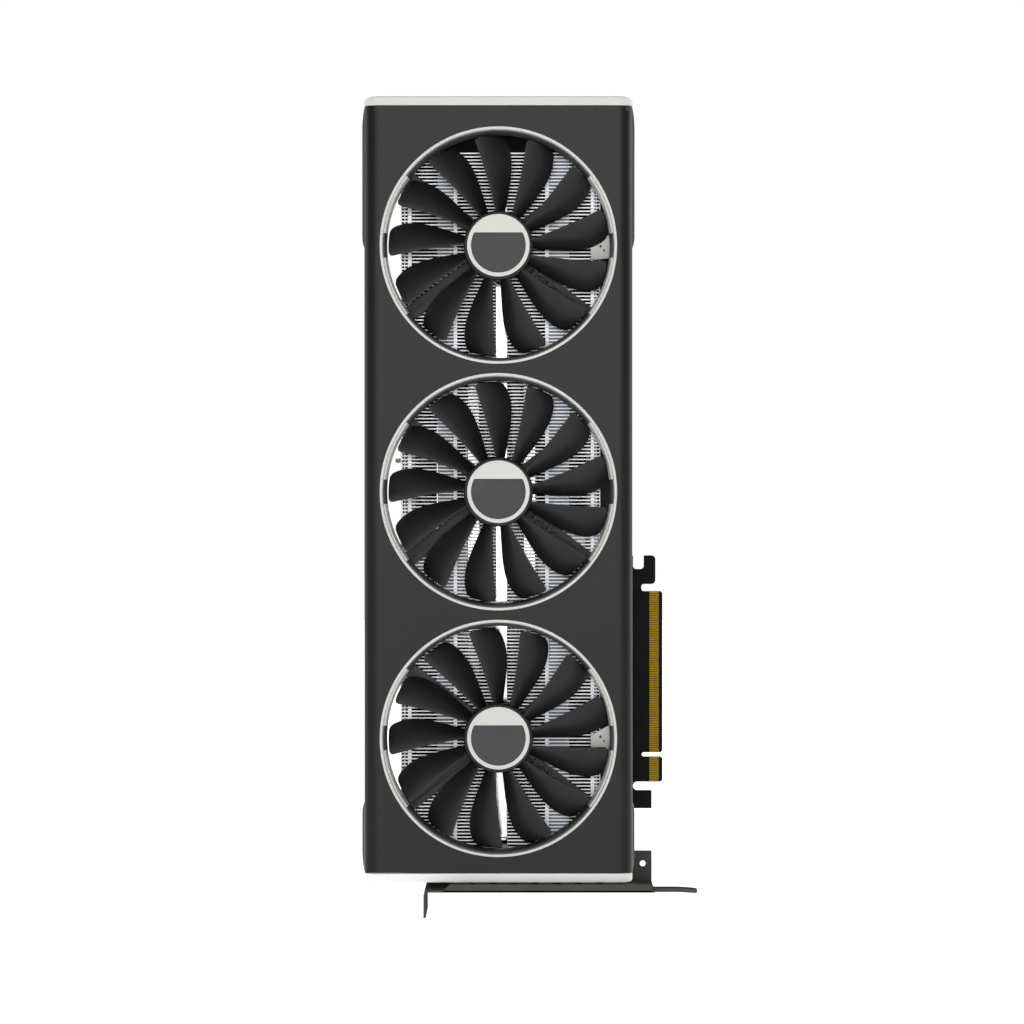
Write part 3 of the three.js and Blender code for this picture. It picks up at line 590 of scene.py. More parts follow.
shellPlastic = makeFinish("shellPlastic", shell["finish"])
placePiece("coolerShell", makeShell(), shellPlastic, nodes=["shroud"], bevel=0.3)
print("cooler shell made")

# bright trims at both ends

trim = {
    "side": 2.5,
    "band": 9,
    "bevel": 0.5,
    "cornerWidth": 4.8,  # its two outer corners are rounded off
    "cornerDrops": (1.0, 2.4),  # at the bracket and at the tail
    "finish": {
        "colour": (0.55, 0.56, 0.525), "tone": (0.58, 0.59, 0.555), "patch": 40, "grain": 3200,
        "rough": (0.3, 0.38), "bump": 0.05, "depth": 0.02, "shine": 0.45,
    },
}


def roundCorners(bm, inner, outer, drop):
    for vert in bm.verts:
        past = (abs(vert.co.x) - halfWidth) / trim["cornerWidth"] + 1
        if past > 0:
            fall = drop * (1 - math.sqrt(max(1 - past**2, 0)))
            share = (vert.co.z - inner) / (outer - inner)
            vert.co.z += math.copysign(fall * share, inner - outer)
    return bm


def makeTrim(low, high):
    side = halfWidth - trim["side"]
    window = faceY + trim["band"]
    section = wrapOutline(0, shell["leftBack"], trimHigh.y)
    section += [(side, trimHigh.y), (side, window), (-side, window), (-side, shell["leftBack"])]
    return plate([section], low, high, "z", trim["bevel"], 3)


trimLacquer = makeFinish("trimLacquer", trim["finish"])
# the trim by the bracket stands in its shade, so its lacquer is painted lighter: a painted light that offsets
# that shade
paintedLightLook = dict(trim["finish"], colour=(0.83, 0.84, 0.8), tone=(0.87, 0.88, 0.84))
paintedLightLacquer = makeFinish("paintedLightLacquer", paintedLightLook)
bracketEnd = roundCorners(makeTrim(trimLow.z, trimHigh.z), trimHigh.z, trimLow.z, trim["cornerDrops"][0])
tailEnd = roundCorners(makeTrim(tailLow.z, tailHigh.z), tailLow.z, tailHigh.z, trim["cornerDrops"][1])
# the bracket trim takes the lighter lacquer, painted light against the flange's shade
placePiece("bracketTrim", bracketEnd, paintedLightLacquer, nodes=["bracket_trim"])
placePiece("tailTrim", tailEnd, trimLacquer, nodes=["tail_trim"])
print("end trims made")

# fan rings


def makeRingLip(height):
    front = ringLow.y
    outer = lipRadius - ring["lip"]
    mouth = outer - 0.12
    under = faceY - 0.05
    profile = [(outer, under + 2), (outer, under), (lipRadius, under)]
    profile += [(lipRadius, front + 0.3), (lipRadius - 0.12, front + 0.09), (lipRadius - 0.35, front)]
    profile += [(mouth + 0.3, front), (mouth + 0.08, front + 0.08), (mouth, front + 0.3)]
    profile += [(mouth - 0.1, under + 1), (mouth - 0.3, under + 2)]
    return turned(profile, height, ring["steps"])


def wallProfile(inset):
    outer = lipRadius - ring["lip"]
    throat = outer - ring["wall"]
    top = faceY + 1.95
    mouth = throat + ring["flare"] - 0.5
    inner = []
    for k in range(7):  # the flared mouth
        radius = mouth - (mouth - throat) * math.sin(math.pi / 2 * k / 6)
        inner.append((radius - inset, top + ring["flareDepth"] * k / 6))
    return [(outer, top), *inner, (throat - inset, ringHigh.y), (outer, ringHigh.y)]


def makeDuct(height, spans, inset=0.0):
    bm = bmesh.new()
    for start, end in spans:
        merge(bm, turned(wallProfile(inset), height, max(4, int(end - start) // 2), start, end))
    return bm


# fan wheels

wheel = {
    "blades": 13,
    "middle": -42.2,
    "rise": 8,
    "thickness": 0.85,
    "camber": 1.3,
    "leadRoot": -1.5,  # degrees, at the hub
    "trailRoot": 13.4,
    "sweep": 8.7,  # both edges lean back this far by the tip
    "leadCurve": 0.62,
    "trailCurve": 4,
    "crowding": 1.35,  # the stations stand closer towards the tip
    "corner": 1.7,
    "across": 12,
    "along": 18,
    "turns": (-6, -2.6, -2.6),
    "hubWall": 1.6,
    "rim": 0.9,
    "finish": {
        "colour": (0.0105, 0.0107, 0.0112), "tone": (0.0145, 0.0147, 0.0155), "patch": 90,
        "grain": 2200, "rough": (0.42, 0.52), "bump": 0.14, "depth": 0.03, "shine": 0.25,
    },
}
hubRadius = (nodeBox("magnet_ring_1")[1].x - nodeBox("magnet_ring_1")[0].x) / 2 + 1.9
tipRadius = lipRadius - ring["lip"] - ring["wall"] - 0.7


def bladeEdges(share):
    left = wheel["leadRoot"] - wheel["sweep"] * share ** wheel["leadCurve"]
    right = wheel["trailRoot"] - wheel["sweep"] * share ** wheel["trailCurve"]
    return left, right


def bladePoint(share, across, face, turn, height):
    root = hubRadius - wheel["hubWall"] / 2
    radius = root + (tipRadius - root) * share
    left, right = bladeEdges(share)
    fromTip = (tipRadius - radius) / wheel["corner"]
    if fromTip < 1:  # rounded corners at the tip
        pull = math.degrees(wheel["corner"] / tipRadius) * (1 - math.sqrt(1 - (1 - fromTip) ** 2))
        left += pull
        right -= 0.7 * pull
    angle = math.radians(left + (right - left) * across + turn)
    half = wheel["thickness"] * 1.9 * math.sqrt(across) * (1 - across) ** 0.8
    half *= 1.25 - 0.55 * share if fromTip > 0.1 else 0.35
    y = wheel["middle"] + wheel["rise"] * (across - 0.5) - wheel["camber"] * math.sin(math.pi * across)
    return (radius * math.sin(angle), y + face * half, height + radius * math.cos(angle))


def makeBlade(turn, height):
    bm = bmesh.new()
    across = [0.5 - 0.5 * math.cos(math.pi * j / wheel["across"]) for j in range(wheel["across"] + 1)]
    along = [1 - (1 - i / wheel["along"]) ** wheel["crowding"] for i in range(wheel["along"] + 1)]
    sides = []
    for face in (-1, 1):
        sides.append([[bm.verts.new(bladePoint(s, a, face, turn, height)) for a in across] for s in along])
    for grid in sides:
        for i in range(len(along) - 1):
            for j in range(len(across) - 1):
                bm.faces.new((grid[i][j], grid[i][j + 1], grid[i + 1][j + 1], grid[i + 1][j]))
    for row in (0, -1):
        for j in range(len(across) - 1):
            front, back = sides[0][row], sides[1][row]
            bm.faces.new((front[j], front[j + 1], back[j + 1], back[j]))
    bmesh.ops.remove_doubles(bm, verts=bm.verts[:], dist=0.002)
    bmesh.ops.dissolve_degenerate(bm, dist=0.001, edges=bm.edges[:])
    return bm


def makeHubCup(height, front, back):
    inner = hubRadius - wheel["hubWall"]
    rim = wheel["rim"]
    profile = [(inner, back), (hubRadius, back)]
    profile += [(hubRadius, front + rim + 1.2), (hubRadius - 0.25, front + rim + 0.9)]
    profile += [
        (hubRadius - rim + (rim - 0.25) * math.cos(a), front + rim - rim * math.sin(a))
        for a in [math.pi / 2 * k / 6 for k in range(7)]
    ]
    profile += [(0, front), (0, front + wheel["hubWall"]), (inner, front + wheel["hubWall"])]
    return turned(profile, height, 96)


def makeWheel(number):
    back = nodeBox(f"impeller_{number}")[1].y
    height = fanHeight(number)
    front = nodeBox(f"magnet_ring_{number}")[0].y - 0.3 - wheel["hubWall"]
    bm = makeHubCup(height, front, back)
    for i in range(wheel["blades"]):
        turn = wheel["turns"][number - 1] + 360 * i / wheel["blades"]
        merge(bm, makeBlade(turn, height))
    return bm


# hub plates and badges

hub = {
    "badgeRadius": 11.95,
    "badgeChord": 5.6,  # the badge's flat top above the axis
    "badgeGap": 0.12,
    "finish": {
        "colour": (0.058, 0.058, 0.058), "tone": (0.066, 0.066, 0.066), "patch": 120, "grain": 4200,
        "rough": (0.5, 0.6), "bump": 0.06, "depth": 0.02, "shine": 0.15,
    },
}


def badgeOutline(height, gap):
    radius = hub["badgeRadius"] - gap
    chord = hub["badgeChord"] - gap
    end = math.degrees(math.asin(chord / radius))
    arc = circleOutline(0, height, radius, 72, 180 - end, 360 + end)
    return softened([(x, z, 0.35 if k in (0, 72) else 0) for k, (x, z) in enumerate(arc)], 0)


def makeHubPlate(number):
    low, high = nodeBox(f"hub_plate_{number}")
    height = fanHeight(number)
    disc = circleOutline(0, height, (high.x - low.x) / 2, 96)
    return plate([disc, badgeOutline(height, 0)], low.y, high.y, "y", 0.18, 3)


def makeBadge(number):
    low, high = nodeBox(f"hub_badge_{number}")
    return plate([badgeOutline(fanHeight(number), hub["badgeGap"])], low.y, high.y + 0.1, "y", 0.08)


# fan frames: four struts, ears with screws, and the motor lead

strut = {
    "angles": (53, 127, 233, 307),
    "width": 6.5,
    "groove": 0.9,
    "grooveDepth": 0.5,
    "ear": 4,
    "earRadius": 54.7,
    "leadAngle": 127,
    "depth": 3,
    "leadRadius": 0.42,
    "leadPitch": 0.95,
    "clips": (19, 27),  # how far out the two clips sit
    "finish": {
        "colour": (0.034, 0.034, 0.034), "tone": (0.043, 0.043, 0.043), "patch": 80, "grain": 2300,
        "rough": (0.5, 0.6), "bump": 0.14, "depth": 0.03, "shine": 0.25,
    },
}


def turnAbout(bm, degrees, height):
    # from straight up to degrees clockwise about the fan axis
    bm.transform(Matrix.Translation((0, 0, height)) @ Matrix.Rotation(math.radians(degrees), 4, "Y"))
    return bm


def makeFrame(number):
    low, high = nodeBox(f"fan_frame_{number}")
    height = fanHeight(number)
    back = high.y
    front = back - strut["depth"]
    half = strut["width"] / 2
    reach = strut["earRadius"]
    rail = (strut["width"] - strut["groove"]) / 2
    seat = [(0, front), (hubRadius - 0.4, front), (hubRadius, front + 0.4), (hubRadius, back), (0, back)]
    bm = turned(seat, height, 64)
    earSection = [(0, front), (strut["ear"] - 0.3, front), (strut["ear"], front + 0.3)]
    earSection += [(strut["ear"], back), (0, back)]
    for degrees in strut["angles"]:
        floorPart = block((-half, front + strut["grooveDepth"], 8), (half, back, reach), 0.3)
        rails = [
            block((side * half, front, 8), (side * (half - rail), back - 1, reach), 0.25) for side in (-1, 1)
        ]
        ear = turned(earSection, reach, 40)
        merge(bm, *[turnAbout(part, degrees, height) for part in (floorPart, *rails, ear)])
    tubeRadius = (nodeBox(f"shaft_{number}")[1].x - nodeBox(f"shaft_{number}")[0].x) / 2 + 0.3
    sleeve = [(tubeRadius, front), (tubeRadius + 1.4, front), (tubeRadius + 1.4, low.y), (tubeRadius, low.y)]
    return merge(bm, turned(sleeve, height, 40))


def makeEarScrews(number):
    seat = nodeBox(f"fan_frame_{number}")[1].y - strut["depth"]
    height = fanHeight(number)
    bm = bmesh.new()
    for degrees in strut["angles"]:
        angle = math.radians(degrees)
        x = strut["earRadius"] * math.sin(angle)
        z = height + strut["earRadius"] * math.cos(angle)
        merge(bm, screwHead(x, seat, z, 2.3, 1.1))
    return bm


def makeLead(number):
    # three thin wires side by side on one strut, under two small clips
    high = nodeBox(f"fan_frame_{number}")[1]
    y = high.y - strut["depth"] - strut["leadRadius"]
    bm = bmesh.new()
    for k in (-1, 0, 1):
        points = [(k * strut["leadPitch"] + 0.2 * math.sin(i * 1.3 + k), y, 16 + i * 1.7) for i in range(10)]
        merge(bm, tube(points, strut["leadRadius"], 8))
    return turnAbout(bm, strut["leadAngle"], fanHeight(number))


def makeLeadClips(number):
    y = nodeBox(f"fan_frame_{number}")[1].y - strut["depth"]
    bm = bmesh.new()
    for reach in strut["clips"]:
        merge(bm, block((-2.2, y - 1.25, reach), (2.2, y + 0.2, reach + 1.6), 0.3))
    return turnAbout(bm, strut["leadAngle"], fanHeight(number))


lug = {"front": -37.5, "back": -36.4, "fans": (1, 3), "holeReach": 44.9, "hole": 0.55}


def makeLug(height):
    # a lug of the duct wall that reaches in over the fins, with a pin hole
    shape = softened([(40.6, 0.6), (47.6, 4.6), (50.4, 5.6), (50.4, -5.0), (42.0, -5.9), (40.6, -4.2)], 0.5)
    shape = [(x, z + height) for x, z in shape]
    hole = circleOutline(lug["holeReach"], height + 0.1, lug["hole"], 20)
    slit = softened(rectangle(46.2, height - 2.3, 46.7, height - 1.2), 0.2, 3)
    return plate([shape, hole, slit], lug["front"], lug["back"], "y", 0.15)


wheelPlastic = makeFinish("wheelPlastic", wheel["finish"])
badgePrint = makeFinish("badgePrint", hub["finish"])
strutPlastic = makeFinish("strutPlastic", strut["finish"])
leadJacket = makeFinish(
    "leadJacket",
    {
        "colour": (0.055, 0.055, 0.055), "tone": (0.085, 0.085, 0.085), "grain": 3000,
        "rough": (0.35, 0.5),
    },
)
screwSteel = makeFinish(
    "screwSteel",
    {
        "colour": (0.46, 0.46, 0.45), "tone": (0.55, 0.55, 0.53), "patch": 300, "grain": 6000,
        "rough": (0.28, 0.42), "bump": 0.06, "metal": 1,
    },
)
blackScrew = makeFinish(
    "blackScrew",
    {
        "colour": (0.03, 0.03, 0.032), "tone": (0.05, 0.05, 0.052), "patch": 300, "grain": 6000,
        "rough": (0.3, 0.45), "bump": 0.06, "metal": 0.8,
    },
)
arc, clip = ring["wallArc"], ring["clipArc"]
brightSpans = [(90 - arc, 90 - clip), (90 + clip, 90 + arc), (270 - arc, 270 - clip), (270 + clip, 270 + arc)]
darkSpans = [(-90 + arc, 90 - arc), (90 + arc, 270 - arc), (90 - clip, 90 + clip), (270 - clip, 270 + clip)]
for number in (1, 2, 3):
    height = fanHeight(number)
    body = f"fan_{number}"
    ringMesh = merge(makeRingLip(height), makeDuct(height, brightSpans))
    ringNode, frameNode, wheelNode = (f"{kind}_{number}" for kind in ("ring_trim", "fan_frame", "impeller"))
    plateNode, badgeNode = f"hub_plate_{number}", f"hub_badge_{number}"
    placePiece(f"ringTrim{number}", ringMesh, trimLacquer, nodes=[ringNode])
    placePiece(f"ductLiner{number}", makeDuct(height, darkSpans), strutPlastic)
    placePiece(f"fanFrame{number}", makeFrame(number), strutPlastic, nodes=[frameNode])
    placePiece(f"earScrews{number}", makeEarScrews(number), blackScrew)
    placePiece(f"motorLead{number}", makeLead(number), leadJacket)
    placePiece(f"leadClips{number}", makeLeadClips(number), strutPlastic)
    placePiece(f"fanWheel{number}", makeWheel(number), wheelPlastic, body, [wheelNode], angle=40)
    placePiece(f"hubPlate{number}", makeHubPlate(number), trimLacquer, body, [plateNode])
    placePiece(f"hubBadge{number}", makeBadge(number), badgePrint, body, [badgeNode])
    if number in lug["fans"]:
        placePiece(f"ductLug{number}", makeLug(height), trimLacquer)
print("fans made")

# motor parts that keep their own shape

copperWinding = makeFinish(
    "copperWinding",
    {
        "colour": (0.42, 0.17, 0.07), "tone": (0.58, 0.27, 0.12), "patch": 500, "grain": 3000,
        "rough": (0.25, 0.4), "bump": 0.3, "metal": 0.7, "stretch": (1, 6, 1),
    },
)
ferriteMagnet = makeFinish(
    "ferriteMagnet",
    {
        "colour": (0.05, 0.048, 0.046), "tone": (0.075, 0.072, 0.068), "patch": 200, "grain": 4000,
        "rough": (0.5, 0.65), "bump": 0.2, "metal": 0.3,
    },
)
for number in (1, 2, 3):
    repaint(f"fan_stator_{number}", copperWinding, 0.2)
    repaint(f"magnet_ring_{number}", ferriteMagnet, 0.2)
    repaint(f"shaft_{number}", screwSteel, 0.1)

# heatsink

fins = {
    "pitch": 1.5,
    "thickness": 0.55,
    # each block's outer end, the folded joints that tie its fins together, and the folds by its pipe
    "Left": {"outer": -43, "joints": (-39.1, -19.0), "folds": (-26.8, -20.2)},
    "Right": {"outer": 44.8, "joints": (21.4, 41.5), "folds": (22.4, 31.2)},
    "jointWidth": 1.55,
    "thinJoints": (0.1, 1.7),  # in from the outer end
    "finish": {
        "colour": (0.46, 0.465, 0.475), "tone": (0.54, 0.545, 0.555), "patch": 70, "grain": 2500,
        "rough": (0.34, 0.44), "bump": 0.1, "metal": 0.9, "stretch": (0.2, 1, 6),
    },
    # painted shade: the colour of the fins' broad faces, darker to stand in for the shade in the gaps between
    # them
    "paintedGapShade": (0.12, 0.124, 0.13),
    "foldFinish": {
        "colour": (0.05, 0.058, 0.07), "tone": (0.105, 0.118, 0.137), "patch": 90, "grain": 2500,
        "rough": (0.3, 0.42), "bump": 0.1, "metal": 0.7, "stretch": (1, 1, 0.3),
    },
}


def makeFinBlock(name, joints, outer):
    low, high = nodeBox(name)
    bm = bmesh.new()
    pitch, thickness = fins["pitch"], fins["thickness"]
    half = fins["jointWidth"] / 2
    count = int((high.z - low.z - thickness) / pitch) + 1
    for i in range(count):
        z = low.z + i * pitch
        merge(bm, block((low.x, low.y, z), (high.x, high.y, z + thickness)))
        for x in joints:
            merge(bm, block((x - half, low.y - 0.12, z), (x + half, low.y + 0.35, z + pitch - 0.1)))
        for inset in fins["thinJoints"]:
            x = outer + math.copysign(inset, -outer)
            merge(bm, block((x - 0.15, low.y - 0.05, z), (x + 0.15, low.y + 1.2, z + pitch - 0.02)))
        for x in (low.x + 4, (low.x + high.x) / 2, high.x - 4):  # folded feet at the back
            merge(bm, block((x - 2, high.y - 0.4, z), (x + 2, high.y, z + pitch - 0.05)))
    return bm


def paintFinGapShade(material):
    # the sheets' broad faces are painted darker than their cut front edges, a painted shade for the narrow
    # gaps between the fins
    tree = material.node_tree
    shader = tree.nodes["Principled BSDF"]
    colour = shader.inputs["Base Color"].links[0].from_socket
    facing = tree.nodes.new("ShaderNodeNewGeometry")
    parts = tree.nodes.new("ShaderNodeSeparateXYZ")
    upright = tree.nodes.new("ShaderNodeMath")
    upright.operation = "ABSOLUTE"
    tree.links.new(facing.outputs["True Normal"], parts.inputs["Vector"])
    tree.links.new(parts.outputs["Z"], upright.inputs[0])
    share = rangeNode(tree, upright.outputs["Value"], 0, 1, 0.5, 0.9)
    toned = mixNode(tree, share, colour, fins["paintedGapShade"])
    tree.links.new(toned, shader.inputs["Base Color"])


def makeFinFolds(name, left, right):
    # folded sheet between the fins, just behind their front edges, where a round pipe runs
    low, high = nodeBox(name)
    bm = bmesh.new()
    for i in range(int((high.z - low.z) / fins["pitch"]) - 1):
        z = low.z + fins["thickness"] + i * fins["pitch"]
        top = z + fins["pitch"] - fins["thickness"] + 0.1
        merge(bm, block((left, low.y + 0.5, z - 0.1), (right, low.y + 0.8, top)))
    return bm


finSheet = makeFinish("finSheet", fins["finish"])
# paints shade onto the fins' broad faces
paintFinGapShade(finSheet)
for side in ("Left", "Right"):
    node = f"fin_stack_{side.lower()}"
    finBlock = makeFinBlock(node, fins[side]["joints"], fins[side]["outer"])
    placePiece(f"finBlock{side}", finBlock, finSheet, nodes=[node])

foldedSheet = makeFinish("foldedSheet", fins["foldFinish"])
for side in ("Left", "Right"):
    folds = makeFinFolds(f"fin_stack_{side.lower()}", *fins[side]["folds"])
    placePiece(f"finFolds{side}", folds, foldedSheet)

pipe = {
    "steps": 40,
    "dome": 2.0,
    "finish": {
        "colour": (0.84, 0.84, 0.82), "tone": (0.9, 0.9, 0.88), "patch": 60, "grain": 900,
        "rough": (0.08, 0.14), "bump": 0.02, "metal": 1, "stretch": (1, 1, 0.2),
    },
}


def makePipe(name, reachX, reachY):
    # a straight pipe with a flattened or round section and drawn-in ends
    low, high = nodeBox(name)
    middleX, middleY, _ = nodeMiddle(name)
    straight = reachX - reachY
    bm = bmesh.new()
    rows = []
    dome = pipe["dome"]
    rounds = [0.35, 0.7, 1.05, math.pi / 2]
    stations = [(low.z + dome * (1 - math.cos(a)), math.sin(a)) for a in rounds]
    stations += [(high.z - dome * (1 - math.cos(a)), math.sin(a)) for a in reversed(rounds)]
    for z, share in stations:
        row = []
        for k in range(pipe["steps"]):
            a = 2 * math.pi * (k + 0.5) / pipe["steps"]
            x = middleX + share * (math.copysign(straight, math.cos(a)) + reachY * math.cos(a))
            row.append(bm.verts.new((x, middleY + share * reachY * math.sin(a), z)))
        rows.append(row)
    skin(bm, rows)
    return bm


nickelPipe = makeFinish("nickelPipe", pipe["finish"])
for name, node in (("roundPipeLeft", "round_pipe_left"), ("roundPipeRight", "round_pipe_right")):
    radius = (nodeBox(node)[1].x - nodeBox(node)[0].x) / 2
    placePiece(name, makePipe(node, radius, radius), nickelPipe, nodes=[node])
for i in (1, 2, 3):
    node = f"flat_pipe_{i}"
    low, high = nodeBox(node)
    flat = makePipe(node, (high.x - low.x) / 2, (high.y - low.y) / 2)
    placePiece(f"flatPipe{i}", flat, nickelPipe, nodes=[node])

coldPlateNickel = makeFinish(
    "coldPlateNickel",
    {
        "colour": (0.6, 0.59, 0.57), "tone": (0.68, 0.67, 0.65), "patch": 100, "grain": 3000,
        "rough": (0.2, 0.32), "bump": 0.08, "metal": 0.9, "stretch": (8, 1, 1),
    },
)
midPlateCoat = makeFinish(
    "midPlateCoat",
    {
        "colour": (0.032, 0.032, 0.033), "tone": (0.042, 0.042, 0.043), "patch": 60, "grain": 2600,
        "rough": (0.5, 0.62), "bump": 0.25, "metal": 0.2,
    },
)
chipLaminate = makeFinish(
    "chipLaminate",
    {
        "colour": (0.02, 0.06, 0.025), "tone": (0.03, 0.075, 0.03), "patch": 150, "grain": 4000,
        "rough": (0.35, 0.5), "bump": 0.1,
    },
)
repaint("cold_plate", coldPlateNickel, 0.3)
repaint("mid_plate", midPlateCoat, 0.2)
repaint("processor", chipLaminate, 0.1)
print("heatsink made")

# circuit board with its edge contacts

board = {
    "bevel": 0.12,
    "width": 102,  # to the backplate's right edge
    "powerMargin": 2,  # beyond the power sockets' ends
    "screwHole": 1.6,
    "keyCentre": 57.7,
    "keyWidth": 1.9,
    "keyDepth": 9.2,
    "edgeStart": 45.5,
    "edgeEnd": 130.7,
    "edgeBevel": 0.8,
    "gapWidth": 3.8,
    "gapDepth": 13.1,
    "tabStart": 33.6,
    "tabReach": 68.4,
    "hook": (133.9, 146.7, 70.1),  # start, end and reach
    "hookNotch": 9.4,
    "hookSlot": (60.1, 64.9, 140.6),
    "rightEdge": 59,
    "cornerInset": 13.4,
    "cornerHeight": 5.5,
    "contactPitch": 1.0,
    "contactWidth": 0.76,
    "contactInset": (1.6, 5.8),  # from the slot edge to a contact's two ends
    "finish": {
        "colour": (0.0065, 0.0065, 0.0067), "tone": (0.0085, 0.0085, 0.009), "patch": 140,
        "grain": 2400, "rough": (0.32, 0.45), "bump": 0.1, "depth": 0.02, "shine": 0.03,
    },
    "traceTone": (0.0105, 0.0108, 0.0108),
    "gold": {
        "colour": (0.23, 0.15, 0.009), "tone": (0.27, 0.178, 0.011), "patch": 260, "grain": 5200,
        "rough": (0.25, 0.36), "bump": 0.05, "metal": 0.35, "shine": 0,
    },
}
boardLow, boardHigh = nodeBox("circuit_board")
powerLow = nodeBox("power_socket_1")[0].z - board["powerMargin"]
powerHigh = nodeBox("power_socket_2")[1].z + board["powerMargin"]
boardLeft = nodeBox("backplate")[1].x - board["width"]


def boardOutline():
    edge = boardHigh.x
    key, half = board["keyCentre"], board["keyWidth"] / 2
    bevel = board["edgeBevel"]
    gap = board["edgeStart"]
    gapFloor = edge - board["gapDepth"]
    gapRadius = board["gapWidth"] / 2
    hookStart, hookEnd, hookReach = board["hook"]
    slotLeft, slotRight, slotFloor = board["hookSlot"]
    right = board["rightEdge"]
    return [
        (right, boardLow.z),
        (right, board["tabStart"]),
        (board["tabReach"], board["tabStart"], 0.3),
        (board["tabReach"], gap - board["gapWidth"], 0.3),
        (gapFloor, gap - board["gapWidth"], gapRadius),
        (gapFloor, gap, gapRadius),
        (edge - bevel, gap),
        (edge, gap + bevel),
        (edge, key - half - bevel),
        (edge - bevel, key - half),
        (edge - board["keyDepth"], key - half, half * 0.98),
        (edge - board["keyDepth"], key + half, half * 0.98),
        (edge - bevel, key + half),
        (edge, key + half + bevel),
        (edge, board["edgeEnd"] - bevel),
        (edge - bevel, board["edgeEnd"]),
        (edge - board["hookNotch"], board["edgeEnd"], 1.2),
        (edge - board["hookNotch"], hookStart, 1.2),
        (hookReach, hookStart, 1.8),
        (hookReach, hookEnd, 1.8),
        (slotRight, hookEnd, 0.4),
        (slotRight, slotFloor, 1.5),
        (slotLeft, slotFloor, 1.5),
        (slotLeft, hookEnd, 0.4),
        (right, hookEnd),
        (right, boardHigh.z, 1.5),
        (boardLeft, boardHigh.z, 1.5),
        (boardLeft, powerHigh),
        (boardLow.x, powerHigh, 1),
        (boardLow.x, powerLow, 1),
        (boardLeft, powerLow),
        (boardLeft, board["cornerHeight"]),
        (boardLeft + board["cornerInset"], board["cornerHeight"]),
        (boardLeft + board["cornerInset"], boardLow.z),
    ]


def makeBoard():
    outlines = [softened(boardOutline(), 0)]
    for i in (1, 2, 3, 4):
        x, _, z = nodeMiddle(f"spring_screw_{i}")
        outlines.append(circleOutline(x, z, board["screwHole"], 32))
    return plate(outlines, boardLow.y, boardHigh.y, "y", board["bevel"], 1)


def makeContacts():
    near, far = board["contactInset"]
    x0, x1 = boardHigh.x - far, boardHigh.x - near
    bm = bmesh.new()
    keyLow = board["keyCentre"] - board["keyWidth"] / 2
    keyHigh = board["keyCentre"] + board["keyWidth"] / 2
    pitch, width = board["contactPitch"], board["contactWidth"]
    for start, end in ((board["edgeStart"], keyLow), (keyHigh, board["edgeEnd"])):
        count = int((end - start) / pitch)
        first = start + (end - start - (count - 1) * pitch) / 2
        for i in range(count):
            z = first + i * pitch
            for side, y in ((-1, boardLow.y), (1, boardHigh.y)):
                a, b = sorted((y - side * 0.05, y + side * 0.06))
                merge(bm, block((x0, a, z - width / 2), (x1, b, z + width / 2), 0.04, 1))
    return bm


def drawTraces(material):
    # faint copper runs under the mask
    tree = material.node_tree
    shader = tree.nodes["Principled BSDF"]
    colour = shader.inputs["Base Color"].links[0].from_socket
    place = tree.nodes.new("ShaderNodeTexCoord")
    bricks = tree.nodes.new("ShaderNodeTexBrick")
    turn = tree.nodes.new("ShaderNodeMapping")
    turn.inputs["Rotation"].default_value = (math.radians(90), 0, 0)
    bricks.inputs["Scale"].default_value = 160
    bricks.inputs["Mortar Size"].default_value = 0.012
    tree.links.new(place.outputs["Object"], turn.inputs["Vector"])
    tree.links.new(turn.outputs["Vector"], bricks.inputs["Vector"])
    toned = mixNode(tree, bricks.outputs["Fac"], colour, board["traceTone"])
    tree.links.new(toned, shader.inputs["Base Color"])


solderMask = makeFinish("solderMask", board["finish"])
drawTraces(solderMask)
goldContact = makeFinish("goldContact", board["gold"])
placePiece("circuitBoard", makeBoard(), solderMask, nodes=["circuit_board"])
placePiece("edgeContacts", makeContacts(), goldContact)

smallParts = {
    "seed": 7,
    "springGap": 7.5,  # none lie under the cross spring's arms
    "edgeCount": 52,
    "ceramic": {
        "colour": (0.28, 0.2, 0.13), "tone": (0.36, 0.27, 0.18), "patch": 700, "grain": 5000,
        "rough": (0.35, 0.5),
    },
    "tin": {
        "colour": (0.6, 0.6, 0.59), "tone": (0.7, 0.7, 0.69), "patch": 600, "grain": 5000,
        "rough": (0.2, 0.35), "metal": 1,
    },
    "resin": {
        "colour": (0.012, 0.012, 0.013), "tone": (0.02, 0.02, 0.021), "patch": 200, "grain": 5200,
        "rough": (0.45, 0.6), "bump": 0.2,
    },
}


def makeSmallParts():
    # little capacitors behind the processor, and a row of them along the board's left edge
    draw = random.Random(smallParts["seed"])
    bodies, ends = bmesh.new(), bmesh.new()
    low = nodeBox("processor")[0]
    middleX, _, middleZ = nodeMiddle("processor")
    spots = []
    for i in range(11):
        for j in range(9):
            x = low.x + 6 + i * 3.3 + draw.uniform(-0.2, 0.2)
            z = low.z + 7 + j * 3.9 + draw.uniform(-0.2, 0.2)
            across, along = x - middleX, z - middleZ
            if min(abs(across - along), abs(across + along)) > smallParts["springGap"]:
                spots.append((x, z, 1))
    for i in range(smallParts["edgeCount"]):
        z = 22 + i * 4.5 + draw.uniform(-0.3, 0.3)
        if not 183 < z < 253:  # none by the power sockets
            spots.append((boardLeft + 2.2, z, -1))
    for x, z, side in spots:
        y = boardHigh.y if side > 0 else boardLow.y
        a, b = sorted((y, y + side * 0.75))
        merge(bodies, block((x - 0.5, a, z - 0.4), (x + 0.5, b, z + 0.4), 0.06, 1))
        for end in (-1, 1):
            c, d = sorted((x + end * 0.5, x + end * 0.85))
            merge(ends, block((c, a, z - 0.42), (d, b, z + 0.42), 0.06, 1))
    return bodies, ends


ceramicBody = makeFinish("ceramicBody", smallParts["ceramic"])
tinEnd = makeFinish("tinEnd", smallParts["tin"])
resinCase = makeFinish("resinCase", smallParts["resin"])
bodies, ends = makeSmallParts()
placePiece("capacitorBodies", bodies, ceramicBody)
placePiece("capacitorEnds", ends, tinEnd)


